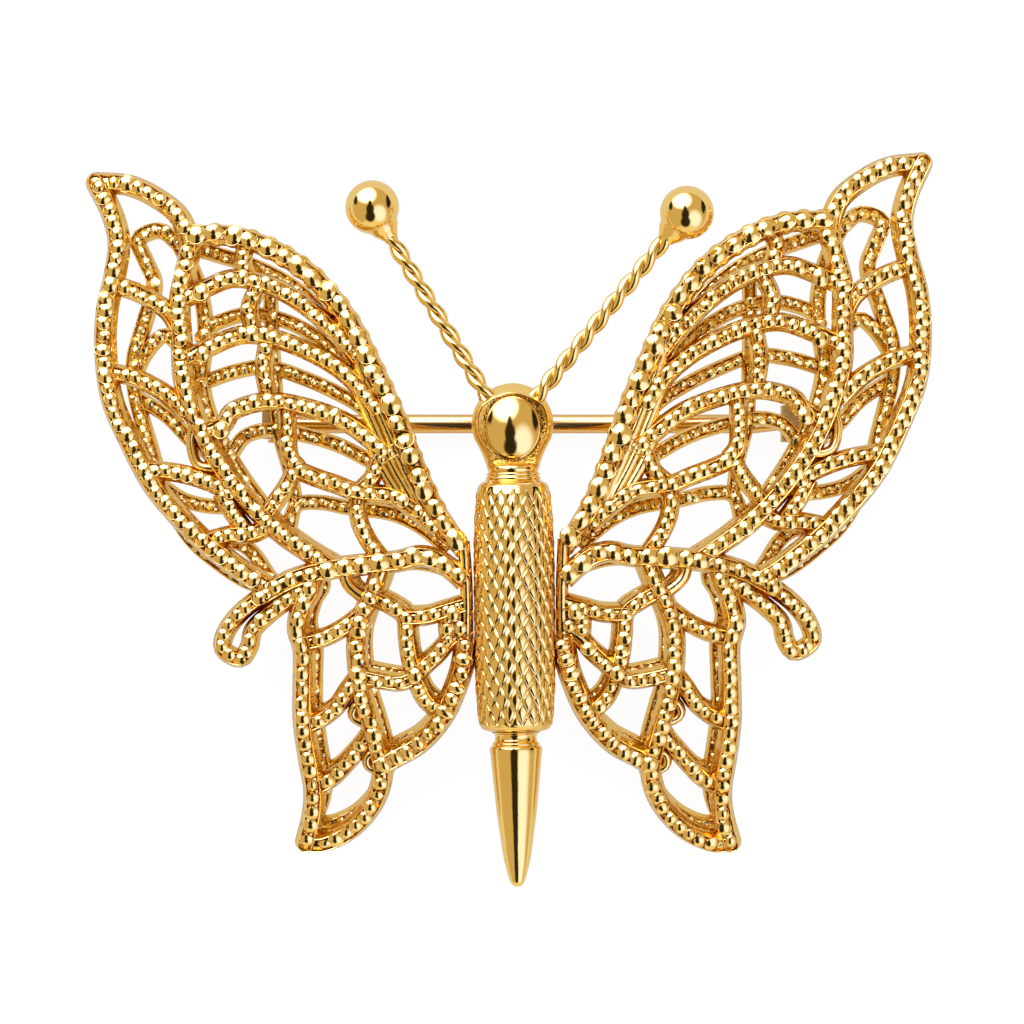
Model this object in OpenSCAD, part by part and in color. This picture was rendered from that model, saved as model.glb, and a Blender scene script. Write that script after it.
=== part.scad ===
// Filigree butterfly brooch. Each side has two layers of pierced wing, cast as wires, on a
// turned body with a domed head, twisted antennae and a hinged pin behind.
// It lies face up on its back. Millimetres: +Z out of the front, +Y towards the head.
// The origin is on the surface that it lies on, under the middle of the outline.

/* [Wings] */
// Sideways distance from the body's middle to the last bead of a fore wing
wing_reach = 25.3; // [20:0.1:32]
// Height of a fore wing's last bead above the wing root
fore_height = 22.6; // [18:0.1:28]
// Depth of a hind wing's last bead below the wing root
hind_depth = 17.4; // [14:0.1:19]
// How far the right fore wing is turned up from where the left one would be, in degrees
right_turn = 2.7; // [0:0.1:4]
// Sideways reach of the right wing, as a part of the left one's
right_stretch = 1.022; // [1:0.002:1.05]
// Height of the front layer's middle at the wing root
wing_crest = 5.7; // [5.2:0.05:7]
// How far a wing falls between the body and its outer edge
side_fall = 2.4; // [1.2:0.05:2.8]
// How far a fore wing falls between the root and its upper edge
fore_fall = 1.6; // [0.8:0.05:2]
// Distance from the front layer's middle down to the under layer's
layer_drop = 1.5; // [1.3:0.05:1.9]
// Size of the under layer's hind wing, as a part of the front one
under_scale = 0.935; // [0.85:0.005:0.97]

/* [Wing wires] */
// Width of the wires round the wing's outline
edge_width = 1.25; // [0.9:0.01:1.4]
// Width of the main veins
vein_width = 1.15; // [0.8:0.01:1.3]
// Width of the cross veins and ribs
rib_width = 1.0; // [0.7:0.01:1.2]
// Width of the smooth ribs beside the inner edge
fine_width = 0.75; // [0.4:0.01:0.9]
// Width of the under layer's wires
under_width = 0.95; // [0.6:0.01:1.1]
// Depth of the front layer's wires
front_depth = 1.0; // [0.7:0.01:1.1]
// Depth of the under layer's wires
under_depth = 0.85; // [0.6:0.01:1]
// Width of a wire's top, as a part of its foot's width
crown_share = 0.62; // [0.4:0.01:0.9]

/* [Body] */
// Length of the scaled barrel
barrel_length = 14.8; // [13:0.1:18]
// Length of the barrel above the wing root
barrel_above = 4.3; // [3.5:0.1:6]
// Radius of the barrel at its middle
barrel_radius = 2.4; // [2:0.01:2.45]
// Radius of the barrel at its ends
barrel_end_radius = 2.12; // [1.8:0.01:2.2]
// Rows of scales along the barrel
scale_rows = 19; // [12:1:24]
// Height of one row of scales over the next
scale_relief = 0.1; // [0.05:0.01:0.2]
// How far the body's axis lies below the front layer's middle
body_sink = 0.5; // [0.2:0.05:0.8]
// Lean of the whole body, in degrees
body_lean = 0.6; // [-2:0.1:2]
// Radius of the bare groove between the barrel and the tail
groove_radius = 1.4; // [1.1:0.01:1.6]
// Length of the bare groove
groove_length = 0.95; // [0.5:0.05:1.5]
// Radius of the tail spike at its thick end
spike_radius = 1.58; // [1.45:0.01:2]
// Length of the tail spike
spike_length = 8.35; // [6:0.05:10]
// Radius of the rounded tip of the tail
spike_tip = 0.3; // [0.2:0.01:0.5]
// Radius of the spigots that join the pieces of the body
spigot_radius = 0.8; // [0.5:0.01:0.95]
// Length of those spigots
spigot_length = 1.2; // [0.8:0.1:2]

/* [Head] */
// Radius of the head's setting
head_radius = 2.46; // [2.2:0.01:2.7]
// Distance between the middle of the head and its neck
head_drop = 2.75; // [2.5:0.05:3.4]
// Radius of the neck
neck_radius = 1.52; // [1.2:0.01:1.7]
// Length of the ringed neck
neck_length = 0.85; // [0.6:0.05:1.4]
// Half the width of the polished dome
dome_radius = 1.57; // [1.3:0.01:1.7]
// Half the length of the polished dome
dome_half_length = 1.92; // [1.7:0.01:2]
// Height of the setting's flat rim over the body's axis
rim_height = 0.95; // [0.8:0.05:1.05]
// How far the dome's middle lies below that rim
dome_sink = 0.1; // [0:0.02:0.3]
// Width of the rough groove at the dome's sides
bezel_groove = 0.4; // [0.2:0.01:0.45]
// Width of that groove at the dome's ends
bezel_end_groove = 0.13; // [0.08:0.01:0.2]
// Depth of that groove
bezel_groove_depth = 0.45; // [0.2:0.05:0.8]

/* [Antennae] */
// Distance from the root of the left antenna to the middle of its ball
antenna_left_length = 13.1; // [10:0.05:16]
// Distance from the root of the right antenna to the middle of its ball
antenna_right_length = 14; // [10:0.05:16]
// Angle between the left antenna and the body, in degrees
antenna_left_angle = 30.6; // [15:0.1:45]
// Angle between the right antenna and the body, in degrees
antenna_right_angle = 39.8; // [15:0.1:45]
// Radius of one strand of the twisted wire
strand_radius = 0.29; // [0.2:0.01:0.35]
// Length of one full turn of the twist
twist_pitch = 2.7; // [2:0.05:4]
// Radius of the balls
ball_radius = 1.62; // [1.2:0.01:2]
// How far a ball stands higher than the root of its antenna
antenna_rise = 0.6; // [0:0.05:1.2]
// Depth of the sockets in the head that take the antennae
head_socket_depth = 0.35; // [0.25:0.05:0.4]
// Depth of the sockets in the balls
ball_socket_depth = 0.7; // [0.4:0.05:1]

/* [Pin] */
// Height of the pin above the wing root
pin_height = 7.98; // [6.5:0.01:9]
// Radius of the pin
pin_radius = 0.575; // [0.4:0.005:0.65]
// Height of the pin's axis over the surface below
pin_lift = 0.85; // [0.75:0.05:1]
// Distance from the body's middle to the hinge
hinge_reach = 14.4; // [12:0.1:16]
// Distance from the body's middle to the middle of the catch
catch_reach = 17; // [15:0.1:19]
// Length of the pin's sharpened end
point_length = 3.6; // [3:0.1:5]
// How far the point passes the middle of the catch
point_past = 1.2; // [0.9:0.1:2]
// Radius of the pin's eye
eye_radius = 0.72; // [0.6:0.01:0.74]
// Thickness of the eye
eye_thickness = 0.8; // [0.6:0.05:1]
// Length of the flat tang between the eye and the round wire
tang_length = 0.55; // [0.4:0.05:1]
// Height of that tang
tang_height = 0.92; // [0.6:0.02:1]
// Radius of the point's blunt end
point_radius = 0.12; // [0.05:0.01:0.2]
// Radius of the hinge's rivet
rivet_radius = 0.32; // [0.2:0.01:0.36]
// Thickness of an ear of the hinge
ear_thickness = 0.45; // [0.3:0.05:0.6]
// Width of the hinge's ears and of the catch, along the pin
bracket_width = 1.6; // [1.5:0.05:1.9]
// Outer width of the catch, across the pin
catch_span = 2.2; // [2:0.05:2.6]
// Radius of the catch's chamber
chamber_radius = 0.62; // [0.58:0.01:0.7]
// Width of the catch's mouth
mouth_width = 0.96; // [0.9:0.01:1.1]

/* [Clearances] */
// Gap between the barrel and the wings beside it
wing_gap = 0.1; // [0.08:0.01:0.2]
// Gap between pieces that are seated on each other
seat_gap = 0.06; // [0.04:0.01:0.15]
// Radial clearance of the pin's eye on the rivet
running_gap = 0.06; // [0.04:0.01:0.08]

/* [Hidden] */

GOLD = "#d9a63f";
PALE_GOLD = "#e6bf6a";
DEEP_GOLD = "#b98a2e";

// The wing is charted in shares: out from the body's middle, and up from the wing root.
// The fore wing's last bead is at FORE_TIP, the hind wing's at HIND_TIP, and the bar that
// lies beside the barrel at ROOT_SHARE.
FORE_TIP = [99, 88.5];
HIND_TIP = [49.2, -68.3];
ROOT_SHARE = 11;
// Part of the hind wing's depth at which the right side is no longer raised, and how much
// of the right side's turn moves the hind wing sideways
RAISE_DEPTH = 0.75;
HIND_TURN = 0.36;

// Kinds of wire, which are also their rows in KINDS. Each kind is a little shallower than
// the one before it, so that a lesser wire ends inside the side of a greater one.
EDGE = 0;
VEIN = 1;
RIB = 2;
POST = 3;
FINE = 4;

// Columns of KINDS: the width, and the depth as a part of the layer's depth
WIDTH = 0;
DEPTH_SHARE = 1;
KINDS = [
  [edge_width, 1],
  [vein_width, 0.95],
  [rib_width, 0.88],
  [rib_width, 0.82],
  [fine_width, 0.76],
];

// Sides of the brooch, as the front shows them
LEFT = -1;
RIGHT = 1;

// Columns of the wire tables
KIND = 0;
ROUTE = 1;

// Outlines and main veins of the fore wing
FORE_FRAME = [
  [EDGE, [[99, 88.5], [95.4, 81.4], [93.6, 74.5], [94.4, 67], [96.3, 58], [96.6, 48], [95, 37.1],
          [90.7, 27.2], [85.2, 17], [78.5, 9], [70.5, 1.5], [61.5, -5], [57, -7.6]]],
  [VEIN, [[99, 88.5], [91.2, 87.8], [84.3, 84.6], [78.9, 80], [76.6, 73], [77.6, 67], [78.9, 60],
          [78.4, 51], [77.9, 42], [75.4, 34], [71.3, 25], [66.6, 18], [60.9, 11.3], [54, 4.9],
          [46.3, -0.2], [42, -3]]],
  [EDGE, [[77, 75.6], [66.3, 75.5], [55.8, 71.7], [46.4, 65], [38.6, 55.2], [32.6, 43.6], [27.7, 33],
          [23.2, 21.6], [18, 10.4], [11.7, 2.2]]],
  [VEIN, [[59.6, -9.7], [52, -5.6], [43.3, -3.1], [35.1, -2], [27, -1.2], [22.3, 0], [18.3, -0.7],
          [14.6, -3], [11.3, -6]]],
  [RIB, [[59.6, -9.7], [64.2, -13.4], [67.6, -17.8], [68.4, -22], [64.4, -24.3], [62.2, -21.4],
         [61.3, -17.6], [57.8, -14], [53.5, -10.7], [49, -8]]],
];

// Cross veins between the outer edge and the main vein, from the top down
CROSS_VEINS = [
  [RIB, [[95.4, 64.5], [88, 61.8], [82, 58], [79, 53.5]]],
  [RIB, [[96, 43.5], [89.6, 42.1], [82.3, 38.4], [76.5, 33]]],
  [RIB, [[86, 20.5], [77.4, 19.2], [70.2, 16.8], [65.5, 14]]],
  [POST, [[68.9, 15], [66, 10], [61.8, 4.6]]],
  [RIB, [[73.5, 3.2], [66.5, 5], [61.5, 5.2], [57.5, 7]]],
];

// Curved ribs between the main vein and the inner edge, from the top down
RIBS = [
  [RIB, [[78, 60.5], [72.6, 63.2], [65.6, 65.5], [56.7, 63.4], [48.4, 58.5], [41, 51.8], [36, 46]]],
  [RIB, [[77.5, 46.3], [71.4, 49.4], [63.3, 52.2], [53.9, 50.5], [44, 46], [37, 40.6], [31.5, 33.5]]],
  [RIB, [[73, 28.8], [68.3, 31], [65.8, 34.3], [57.8, 36.4], [48.5, 34.9], [39.2, 31.4], [29.5, 24]]],
  [RIB, [[51, 20.3], [46.3, 18.4], [41.5, 16.8], [36.5, 15], [29, 14.3], [24, 11.5], [17.5, 6.5]]],
  [FINE, [[37.4, 48.5], [34.2, 40], [29.9, 30], [25.9, 21], [20.6, 10.5]]],
];

// Upright veins that join the ribs, from the outline down to the shoulder
UPRIGHTS = [
  [POST, [[63, 74.5], [63.8, 69], [62, 64.5]]],
  [POST, [[59.6, 64.2], [62.2, 58.5], [61, 51.5]]],
  [POST, [[58, 50.5], [58.7, 43.5], [57.2, 36]]],
  [POST, [[53.3, 36], [53.1, 29], [52.6, 23.5], [50.4, 20.6]]],
  [POST, [[51.6, 19.9], [53.6, 16], [58.5, 9]]],
  [POST, [[36.5, 15], [36.3, 9], [34.2, 4], [30.3, -1.3]]],
  [POST, [[36.5, 15], [33, 18.5], [31.5, 22.5], [27.4, 25]]],
  [FINE, [[11.6, 3.5], [11, -5], [10.8, -13], [10.9, -21]]],
];

// Outlines and main vein of the hind wing
HIND_FRAME = [
  [EDGE, [[47.6, -3.4], [47.4, -7.8], [49.3, -11], [50.7, -16.8], [49.3, -22.5], [49.4, -31],
          [49.4, -39.5], [48.3, -48], [47.1, -55.5], [47.5, -61.5], [49.2, -68.3]]],
  [VEIN, [[30.6, -2.5], [32.3, -7.3], [34.7, -12.5], [36.5, -18.5], [36.6, -25], [35.5, -33],
          [33.3, -40.5], [31.6, -47], [31, -53], [33.4, -59.3], [38.4, -65], [44.6, -68.2], [49.2, -68.3]]],
  [EDGE, [[31.8, -49.8], [27.3, -47.3], [23, -44.9], [19.2, -41.3], [16, -36.8], [13.7, -31.6],
          [11.9, -26], [10.9, -19.5]]],
];

// Cross veins of the hind wing, from the outer edge inwards
HIND_VEINS = [
  [RIB, [[49.5, -20.6], [44.9, -19.5], [40, -17], [35.8, -13.8]]],
  [RIB, [[49.4, -40.4], [45, -38.4], [41.4, -35.4], [38.9, -31.6], [36.2, -28]]],
  [RIB, [[47.3, -55.2], [42.9, -52.8], [39.3, -49.1], [36.2, -45.4], [33.5, -41.5]]],
  [RIB, [[36.2, -28.2], [31, -29.3], [26.5, -29.8], [22.3, -28.2]]],
  [RIB, [[23.3, -28.1], [21, -33.3], [18.5, -35.9], [15.8, -37.8]]],
  [RIB, [[33, -9.5], [28.7, -11.7], [25.4, -14.3], [24.8, -19.5], [24.2, -24], [22.7, -29.1]]],
  [RIB, [[26, -14.5], [20.5, -14.2], [16.2, -12.9], [11.5, -11.5]]],
  [RIB, [[14.8, -12.3], [15.4, -16], [15.1, -19.1]]],
  [RIB, [[11.3, -17.3], [14.8, -19.6], [17.6, -23], [20.8, -26], [23.5, -29]]],
  [FINE, [[39.8, -3.5], [38.6, -7], [35, -10]]],
];

// The under layer's fore wing, which shows through the gaps of the front one
UNDER_FRAME = [
  [EDGE, [[79.5, 74], [84, 77.2], [89.2, 75], [87.4, 70], [85.2, 64], [87.6, 55], [90, 46],
           [89.3, 37], [86.3, 26.5], [82.6, 15], [76.6, 4.5], [69.5, -1.8], [63, -6], [57, -8.6]]],
  [VEIN, [[79.5, 74], [75.6, 66.5], [73.4, 58.5], [73, 50.5], [73.8, 42], [72, 33.5], [68, 25],
           [62, 15.8], [55.5, 8], [48, 2.2], [40, -2.5]]],
  [EDGE, [[79.5, 74], [70, 71.3], [59.5, 67.7], [50, 62], [42, 53.4], [36, 43.6], [31, 33.5],
           [26.4, 23], [21.2, 12.6], [15.8, 5], [11.6, 0]]],
  [VEIN, [[57, -8.6], [50, -5.6], [40, -2.8], [30, -2], [21, -1.6], [11.2, -4.6]]],
];
UNDER_VEINS = [
  [RIB, [[90, 42.5], [87, 48.2], [83, 52.2], [79.5, 50], [74, 44]]],
  [RIB, [[89.5, 37.6], [82, 33], [76, 27], [69.5, 22.5]]],
  [RIB, [[83.2, 16.4], [77, 12.8], [68.5, 11.6], [60, 13.2]]],
  [RIB, [[73.6, 0.8], [66.5, 3.2], [61.8, 1], [57.5, -5], [55, -7.6]]],
  [RIB, [[73.2, 52.5], [70, 55.2], [62.5, 57.2], [54.4, 55.7], [47, 52], [40, 46.4], [33, 38]]],
  [RIB, [[73.8, 40.8], [66, 43.5], [58, 44.6], [49.5, 42], [41.4, 38.4], [35, 34.6], [28.5, 28]]],
  [RIB, [[67, 23.4], [63.4, 28.2], [57, 29.8], [49.2, 28.5], [41.4, 26.2], [34, 22.5], [24, 17]]],
  [RIB, [[53, 5.5], [51.3, 11.8], [45.5, 12.6], [38.4, 11.3], [29.1, 10.1], [22, 7], [15, 1.5]]],
  [POST, [[57.5, 66.8], [57.3, 57], [56.6, 44.5], [55.3, 29.6], [52.6, 19.5], [51.3, 11.8]]],
  [FINE, [[11.5, 1.5], [11, -5], [10.8, -13], [10.7, -20]]],
];

// How far a nugget reaches below and above the middle of its layer, as parts of the depth
NUGGET_FOOT = 0.36;
NUGGET_TOP = 0.56;

// Columns of the nugget tables: two ends, and a radius, all in shares
FROM = 0;
TO = 1;
GIRTH = 2;

// Nuggets of metal in the corners of the front layer
NUGGETS = [
  [[75, 26.8], [72.2, 20.5], 1.9],
  [[73.5, 62], [73.5, 62], 2.3],
  [[68.6, 29.7], [68.6, 29.7], 2.2],
  [[38.8, -35.8], [37.5, -39.8], 1.7],
  [[35.7, -47.2], [34.2, -50], 1.8],
  [[23.6, -27.6], [22.4, -28.8], 2.3],
  [[47.5, -4.4], [47.2, -7.6], 2.2],
  [[25.5, 12.7], [22.8, 10.7], 2],
  [[14.2, -13.5], [12, -16], 2.2],
];

// Nuggets where the under layer's ribs leave its main vein, as in the table above
UNDER_NUGGETS = [
  [[73.2, 51.5], [73.2, 51.5], 2.2],
  [[73.7, 40.9], [73.7, 40.9], 2.2],
  [[67, 23.5], [67, 23.5], 2.2],
  [[53.1, 5.5], [53.1, 5.5], 2.2],
  [[68.3, 11.6], [68.3, 11.6], 2],
  [[57.2, 56.9], [57.2, 56.9], 2],
  [[56.5, 44.4], [56.5, 44.4], 2],
  [[55.3, 29.6], [55.3, 29.6], 2],
];

// Steps of the twisted wire in one full turn
TWIST_STEPS = 6;
// Half of the twisted pair's outline, from waist to waist, in radii of a strand
PAIR_LOBE = [[0, -0.45], [0.64, -0.97], [1.72, -0.57], [1.72, 0.57], [0.64, 0.97]];
// Where an antenna's root is round the head, in degrees, and how far inside its edge
ROOT_ANGLE = 42;
ROOT_INSET = 0.1;
// Points along the curved flanks of the head, dome and tail, and round the tail's tip
FLANK_POINTS = 14;
TIP_POINTS = 4;
// Points round the groove beside the dome
GROOVE_POINTS = 40;
// Rounding of the hinge's ears, and the thickness of the brackets' bases
ear_round = 0.35;
base_thickness = 0.4;
// Width of the smooth bands at the ends of the barrel
band_width = 0.5;
// Radius and thickness of the rivet's heads
rivet_head_radius = rivet_radius + 0.2;
rivet_head_thickness = 0.2;

// Places that follow from the sizes above. The slope of the hind tips is near enough.
root_reach = barrel_radius + wing_gap + fine_width / 2;
share = (wing_reach - root_reach) / (FORE_TIP.x - ROOT_SHARE);
hind_slope = 2 * (wing_crest - layer_drop - under_depth) / hind_depth;
hind_fall = (wing_crest - layer_drop - under_depth / 2 - hind_slope * under_width / 2
             - side_fall * (spot(shrunk(HIND_TIP, under_scale), LEFT).x / wing_reach) ^ 2) / under_scale ^ 2;
body_z = wing_crest - body_sink;
barrel_top = barrel_above;
barrel_foot = barrel_above - barrel_length;
spike_top = barrel_foot - groove_length;
tail_end = spike_top - spike_length;
neck_top = barrel_top + neck_length;
head_y = neck_top + head_drop;
tip_top = fore_height + tan(right_turn) * wing_reach + edge_width / 2;
root_y = -(tip_top + tail_end) / 2;
dome_lift = rim_height - dome_sink;
twist_radius = strand_radius * norm(PAIR_LOBE[2]);
pin_y = root_y + pin_height;
// The spigot in the head stops short of the groove round the dome
head_spigot = head_drop - dome_half_length - bezel_end_groove - 3 * seat_gap;
stem_start = eye_radius + tang_length;
point_end = hinge_reach + catch_reach + point_past;
wall_end = point_end - point_length;
hinge_base = under_floor([-hinge_reach - bracket_width / 2, pin_height]);
catch_base = under_floor([catch_reach + bracket_width / 2, pin_height]);

// A charted place in millimetres from the wing root
function spot(p, side) =
  let (x = root_reach + (p.x - ROOT_SHARE) * share,
       y = p.y < 0 ? -p.y * hind_depth / HIND_TIP.y : p.y * fore_height / FORE_TIP.y)
  side == LEFT ? [x, y] : right_spot(x, y);

// A place on the right wing, from the same place on the left one
function right_spot(x, y) = [
  root_reach + (x - root_reach) * right_stretch - tan(right_turn) * y * (y < 0 ? HIND_TURN : 1),
  y + tan(right_turn) * x * min(max(1 + y / (RAISE_DEPTH * hind_depth), 0), 1),
];

// A charted place drawn in towards the wing root
function shrunk(p, size) = [ROOT_SHARE + (p.x - ROOT_SHARE) * size, p.y * size];

// How far the wing lies below its crest at a place in millimetres, and its slope there
function fall(q) =
  side_fall * (q.x / wing_reach) ^ 2
  + (q.y < 0 ? hind_fall * (q.y / hind_depth) ^ 2 : fore_fall * (q.y / fore_height) ^ 2);
function lean(q) = [
  2 * side_fall * q.x / wing_reach ^ 2,
  q.y < 0 ? 2 * hind_fall * q.y / hind_depth ^ 2 : 2 * fore_fall * q.y / fore_height ^ 2,
];

// Height of the highest seat for a bracket under the lower layer
function under_floor(q) = wing_crest - layer_drop - fall(q) - under_depth / 2 - seat_gap;

// One ring of a wing's wire: a broad foot, sloping sides and a narrower top
function wire_ring(place, along, up, width, depth) =
  let (aside = cross(along, up) / norm(cross(along, up)), half = width / 2, top = half * crown_share)
  [for (c = [[-half, -depth / 2], [half, -depth / 2], [top, depth / 2], [-top, depth / 2]])
    place + c.x * aside + c.y * up];

// All the rings of a wire, one at each place of its route
function wire_rings(route, side, width, depth, sink, size) =
  let (flat = [for (p = route) spot(shrunk(p, size), side)], last = len(flat) - 1,
       places = [for (q = flat) [q.x, q.y, wing_crest - sink - fall(q)]])
  [for (i = [0 : last])
    let (along = places[min(i + 1, last)] - places[max(i - 1, 0)], slope = lean(flat[i]),
         up = [slope.x, slope.y, 1] / norm([slope.x, slope.y, 1]))
    wire_ring(places[i], along, up, width, depth)];

// A closed skin over a row of rings with the same number of points
module skin(rings) {
  sides = len(rings[0]);
  last = len(rings) - 1;
  polyhedron(
    points = [for (ring = rings) each ring],
    faces = concat(
      [[for (k = [sides - 1 : -1 : 0]) k]],
      [for (i = [0 : last - 1], k = [0 : sides - 1])
        let (a = i * sides + k, b = i * sides + (k + 1) % sides)
        each [[a, b, b + sides], [a, b + sides, a + sides]]],
      [[for (k = [0 : sides - 1]) last * sides + k]]));
}

module wires(table, side, depth, widest = edge_width, sink = 0, size = 1) {
  for (row = table) {
    kind = KINDS[row[KIND]];
    skin(wire_rings(row[ROUTE], side, min(kind[WIDTH], widest), depth * kind[DEPTH_SHARE], sink, size));
  }
}

// Lumps that stand a little over the wires that they join
module nuggets(table, side, depth, sink = 0) {
  for (row = table)
    hull()
      for (end = [row[FROM], row[TO]]) {
        q = spot(end, side);
        translate([q.x, q.y, wing_crest - sink - fall(q) - depth * NUGGET_FOOT])
          cylinder(h = depth * (NUGGET_FOOT + NUGGET_TOP), r1 = row[GIRTH] * share,
                   r2 = row[GIRTH] * share * crown_share, $fn = 6);
      }
}

module front_wing(side) {
  wires(FORE_FRAME, side, front_depth);
  wires(CROSS_VEINS, side, front_depth);
  wires(RIBS, side, front_depth);
  wires(UPRIGHTS, side, front_depth);
  wires(HIND_FRAME, side, front_depth);
  wires(HIND_VEINS, side, front_depth);
  nuggets(NUGGETS, side, front_depth);
}

module under_wing(side) {
  wires(UNDER_FRAME, side, under_depth, under_width, layer_drop);
  wires(UNDER_VEINS, side, under_depth, under_width, layer_drop);
  wires(HIND_FRAME, side, under_depth, under_width, layer_drop, under_scale);
  wires(HIND_VEINS, side, under_depth, under_width, layer_drop, under_scale);
  nuggets(UNDER_NUGGETS, side, under_depth, layer_drop);
}

// Wings are drawn as the right one lies, and mirrored for the left
module left_side() {
  translate([0, root_y, 0]) mirror([1, 0, 0]) children();
}

module right_side() {
  translate([0, root_y, 0]) children();
}

module front_wing_left() { color(GOLD) left_side() front_wing(LEFT); }
module front_wing_right() { color(GOLD) right_side() front_wing(RIGHT); }
module under_wing_left() { color(DEEP_GOLD) left_side() under_wing(LEFT); }
module under_wing_right() { color(DEEP_GOLD) right_side() under_wing(RIGHT); }

// Turns a profile drawn as radius across and place along the body into a round piece
module turned_piece() {
  translate([0, root_y, body_z]) rotate(body_lean) rotate([-90, 0, 0])
    rotate_extrude($fn = 64) children();
}

// Radius of the barrel at a place from 0 at its foot to 1 at its top
function barrel_flank(t) = barrel_end_radius + (barrel_radius - barrel_end_radius) * (1 - (2 * t - 1) ^ 4);

module thorax() {
  row_length = (barrel_length - 2 * band_width) / scale_rows;
  color(GOLD) turned_piece() difference() {
    polygon(concat(
      [[0, barrel_foot], [barrel_end_radius, barrel_foot], [barrel_end_radius, barrel_foot + band_width]],
      [for (i = [0 : scale_rows - 1]) let (y = barrel_foot + band_width + i * row_length)
        each [[barrel_flank((y - barrel_foot) / barrel_length), y],
              [barrel_flank((y + row_length - barrel_foot) / barrel_length) - scale_relief, y + row_length]]],
      [[barrel_end_radius, barrel_top - band_width], [barrel_end_radius, barrel_top], [0, barrel_top]]));
    translate([0, barrel_top - spigot_length - seat_gap]) square([spigot_radius + seat_gap, barrel_length]);
    translate([0, barrel_foot - seat_gap]) square([spigot_radius + seat_gap, spigot_length + 2 * seat_gap]);
  }
}

module neck_ring() {
  ring = neck_length / 4;
  foot = barrel_top + seat_gap;
  color(PALE_GOLD) turned_piece() {
    translate([0, foot]) square([neck_radius - ring, neck_length - 2 * seat_gap]);
    for (y = [foot + ring, neck_top - seat_gap - ring])
      translate([neck_radius - ring, y]) circle(r = ring, $fn = 24);
    translate([0, barrel_top - spigot_length]) square([spigot_radius, spigot_length + ring]);
    translate([0, neck_top - ring]) square([spigot_radius, ring + head_spigot]);
  }
}

// The spike's flank is a parabola that ends in a round tip
module tail_spike() {
  last = sqrt(1 - spike_tip / spike_radius);
  flank_length = (spike_length - spike_tip) / last;
  color(PALE_GOLD) turned_piece() polygon(concat(
    [[0, barrel_foot + spigot_length], [spigot_radius, barrel_foot + spigot_length],
     [spigot_radius, barrel_foot - seat_gap], [groove_radius, barrel_foot - seat_gap],
     [groove_radius, spike_top]],
    [for (i = [0 : FLANK_POINTS]) let (t = last * i / FLANK_POINTS)
      [spike_radius * (1 - t ^ 2), spike_top - t * flank_length]],
    [for (i = [1 : TIP_POINTS]) let (a = 90 * i / TIP_POINTS)
      [spike_tip * cos(a), tail_end + spike_tip * (1 - sin(a))]]));
}

// Half outline of the dome, grown by a margin
module dome_profile(margin) {
  translate([0, head_y])
    polygon([for (i = [0 : FLANK_POINTS]) let (a = -90 + i * 180 / FLANK_POINTS)
      [max((dome_radius + margin) * cos(a), 0), (dome_half_length + margin) * sin(a)]]);
}

module head_setting() {
  slope = asin((head_radius - neck_radius) / head_drop);
  color(PALE_GOLD) difference() {
    turned_piece()
      polygon(concat([[0, neck_top], [neck_radius, neck_top]],
        [for (i = [0 : FLANK_POINTS]) let (a = -slope + (90 + slope) * i / FLANK_POINTS)
          [head_radius * cos(a), head_y + head_radius * sin(a)]]));
    turned_piece() translate([0, neck_top - seat_gap])
      square([spigot_radius + seat_gap, head_spigot + 2 * seat_gap]);
    translate([0, 0, dome_lift]) turned_piece() dome_profile(seat_gap);
    translate([0, root_y, body_z]) rotate(body_lean) {
      translate([0, head_y, rim_height + head_radius]) cube(2 * head_radius, center = true);
      translate([0, head_y, rim_height - bezel_groove_depth])
        linear_extrude(head_radius)
          polygon([for (a = [0 : 360 / GROOVE_POINTS : 359]) [
            (dome_radius + bezel_groove) * cos(a),
            (dome_half_length + bezel_end_groove) * sin(a)]]);
    }
    for (side = [LEFT, RIGHT]) antenna_frame(side) translate([0, 0, -head_socket_depth]) socket();
  }
}

module head_dome() {
  color(PALE_GOLD) translate([0, 0, dome_lift]) turned_piece() dome_profile(0);
}

// A bore for a twisted wire's end
module socket() {
  cylinder(r = twist_radius + seat_gap, h = head_radius, $fn = 32);
}

function antenna_length(side) = side == LEFT ? antenna_left_length : antenna_right_length;
function antenna_angle(side) = side == LEFT ? antenna_left_angle : antenna_right_angle;

// Puts +Z along an antenna, with its root on the head's rounded top
module antenna_frame(side) {
  length = antenna_length(side);
  translate([0, root_y, body_z]) rotate(body_lean) translate([0, head_y, rim_height / 2])
    translate(head_root(side))
      rotate([0, 0, -side * antenna_angle(side)])
        rotate([-90 + asin(antenna_rise / length), 0, 0]) children();
}

// Where an antenna leaves the head, from the head's middle
function head_root(side) =
  (head_radius - ROOT_INSET) * [side * sin(ROOT_ANGLE), cos(ROOT_ANGLE), 0];

// Ring of the twisted pair: two round lobes with a waist between them
function pair_ring(height, turn) = [
  for (lobe = [1, -1], c = PAIR_LOBE * strand_radius * lobe)
    [c.x * cos(turn) - c.y * sin(turn), c.x * sin(turn) + c.y * cos(turn), height]];

module antenna(side) {
  start = -head_socket_depth + seat_gap;
  end = antenna_length(side) - ball_radius + ball_socket_depth - seat_gap;
  steps = round((end - start) / twist_pitch * TWIST_STEPS);
  color(GOLD) antenna_frame(side)
    skin([for (i = [0 : steps])
      let (z = start + (end - start) * i / steps) pair_ring(z, -360 * (z - start) / twist_pitch)]);
}

module antenna_left() { antenna(LEFT); }
module antenna_right() { antenna(RIGHT); }

module antenna_ball(side) {
  color(PALE_GOLD) antenna_frame(side) translate([0, 0, antenna_length(side)]) difference() {
    sphere(r = ball_radius, $fn = 64);
    translate([0, 0, ball_socket_depth - ball_radius - head_radius]) socket();
  }
}

module antenna_ball_left() { antenna_ball(LEFT); }
module antenna_ball_right() { antenna_ball(RIGHT); }

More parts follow.
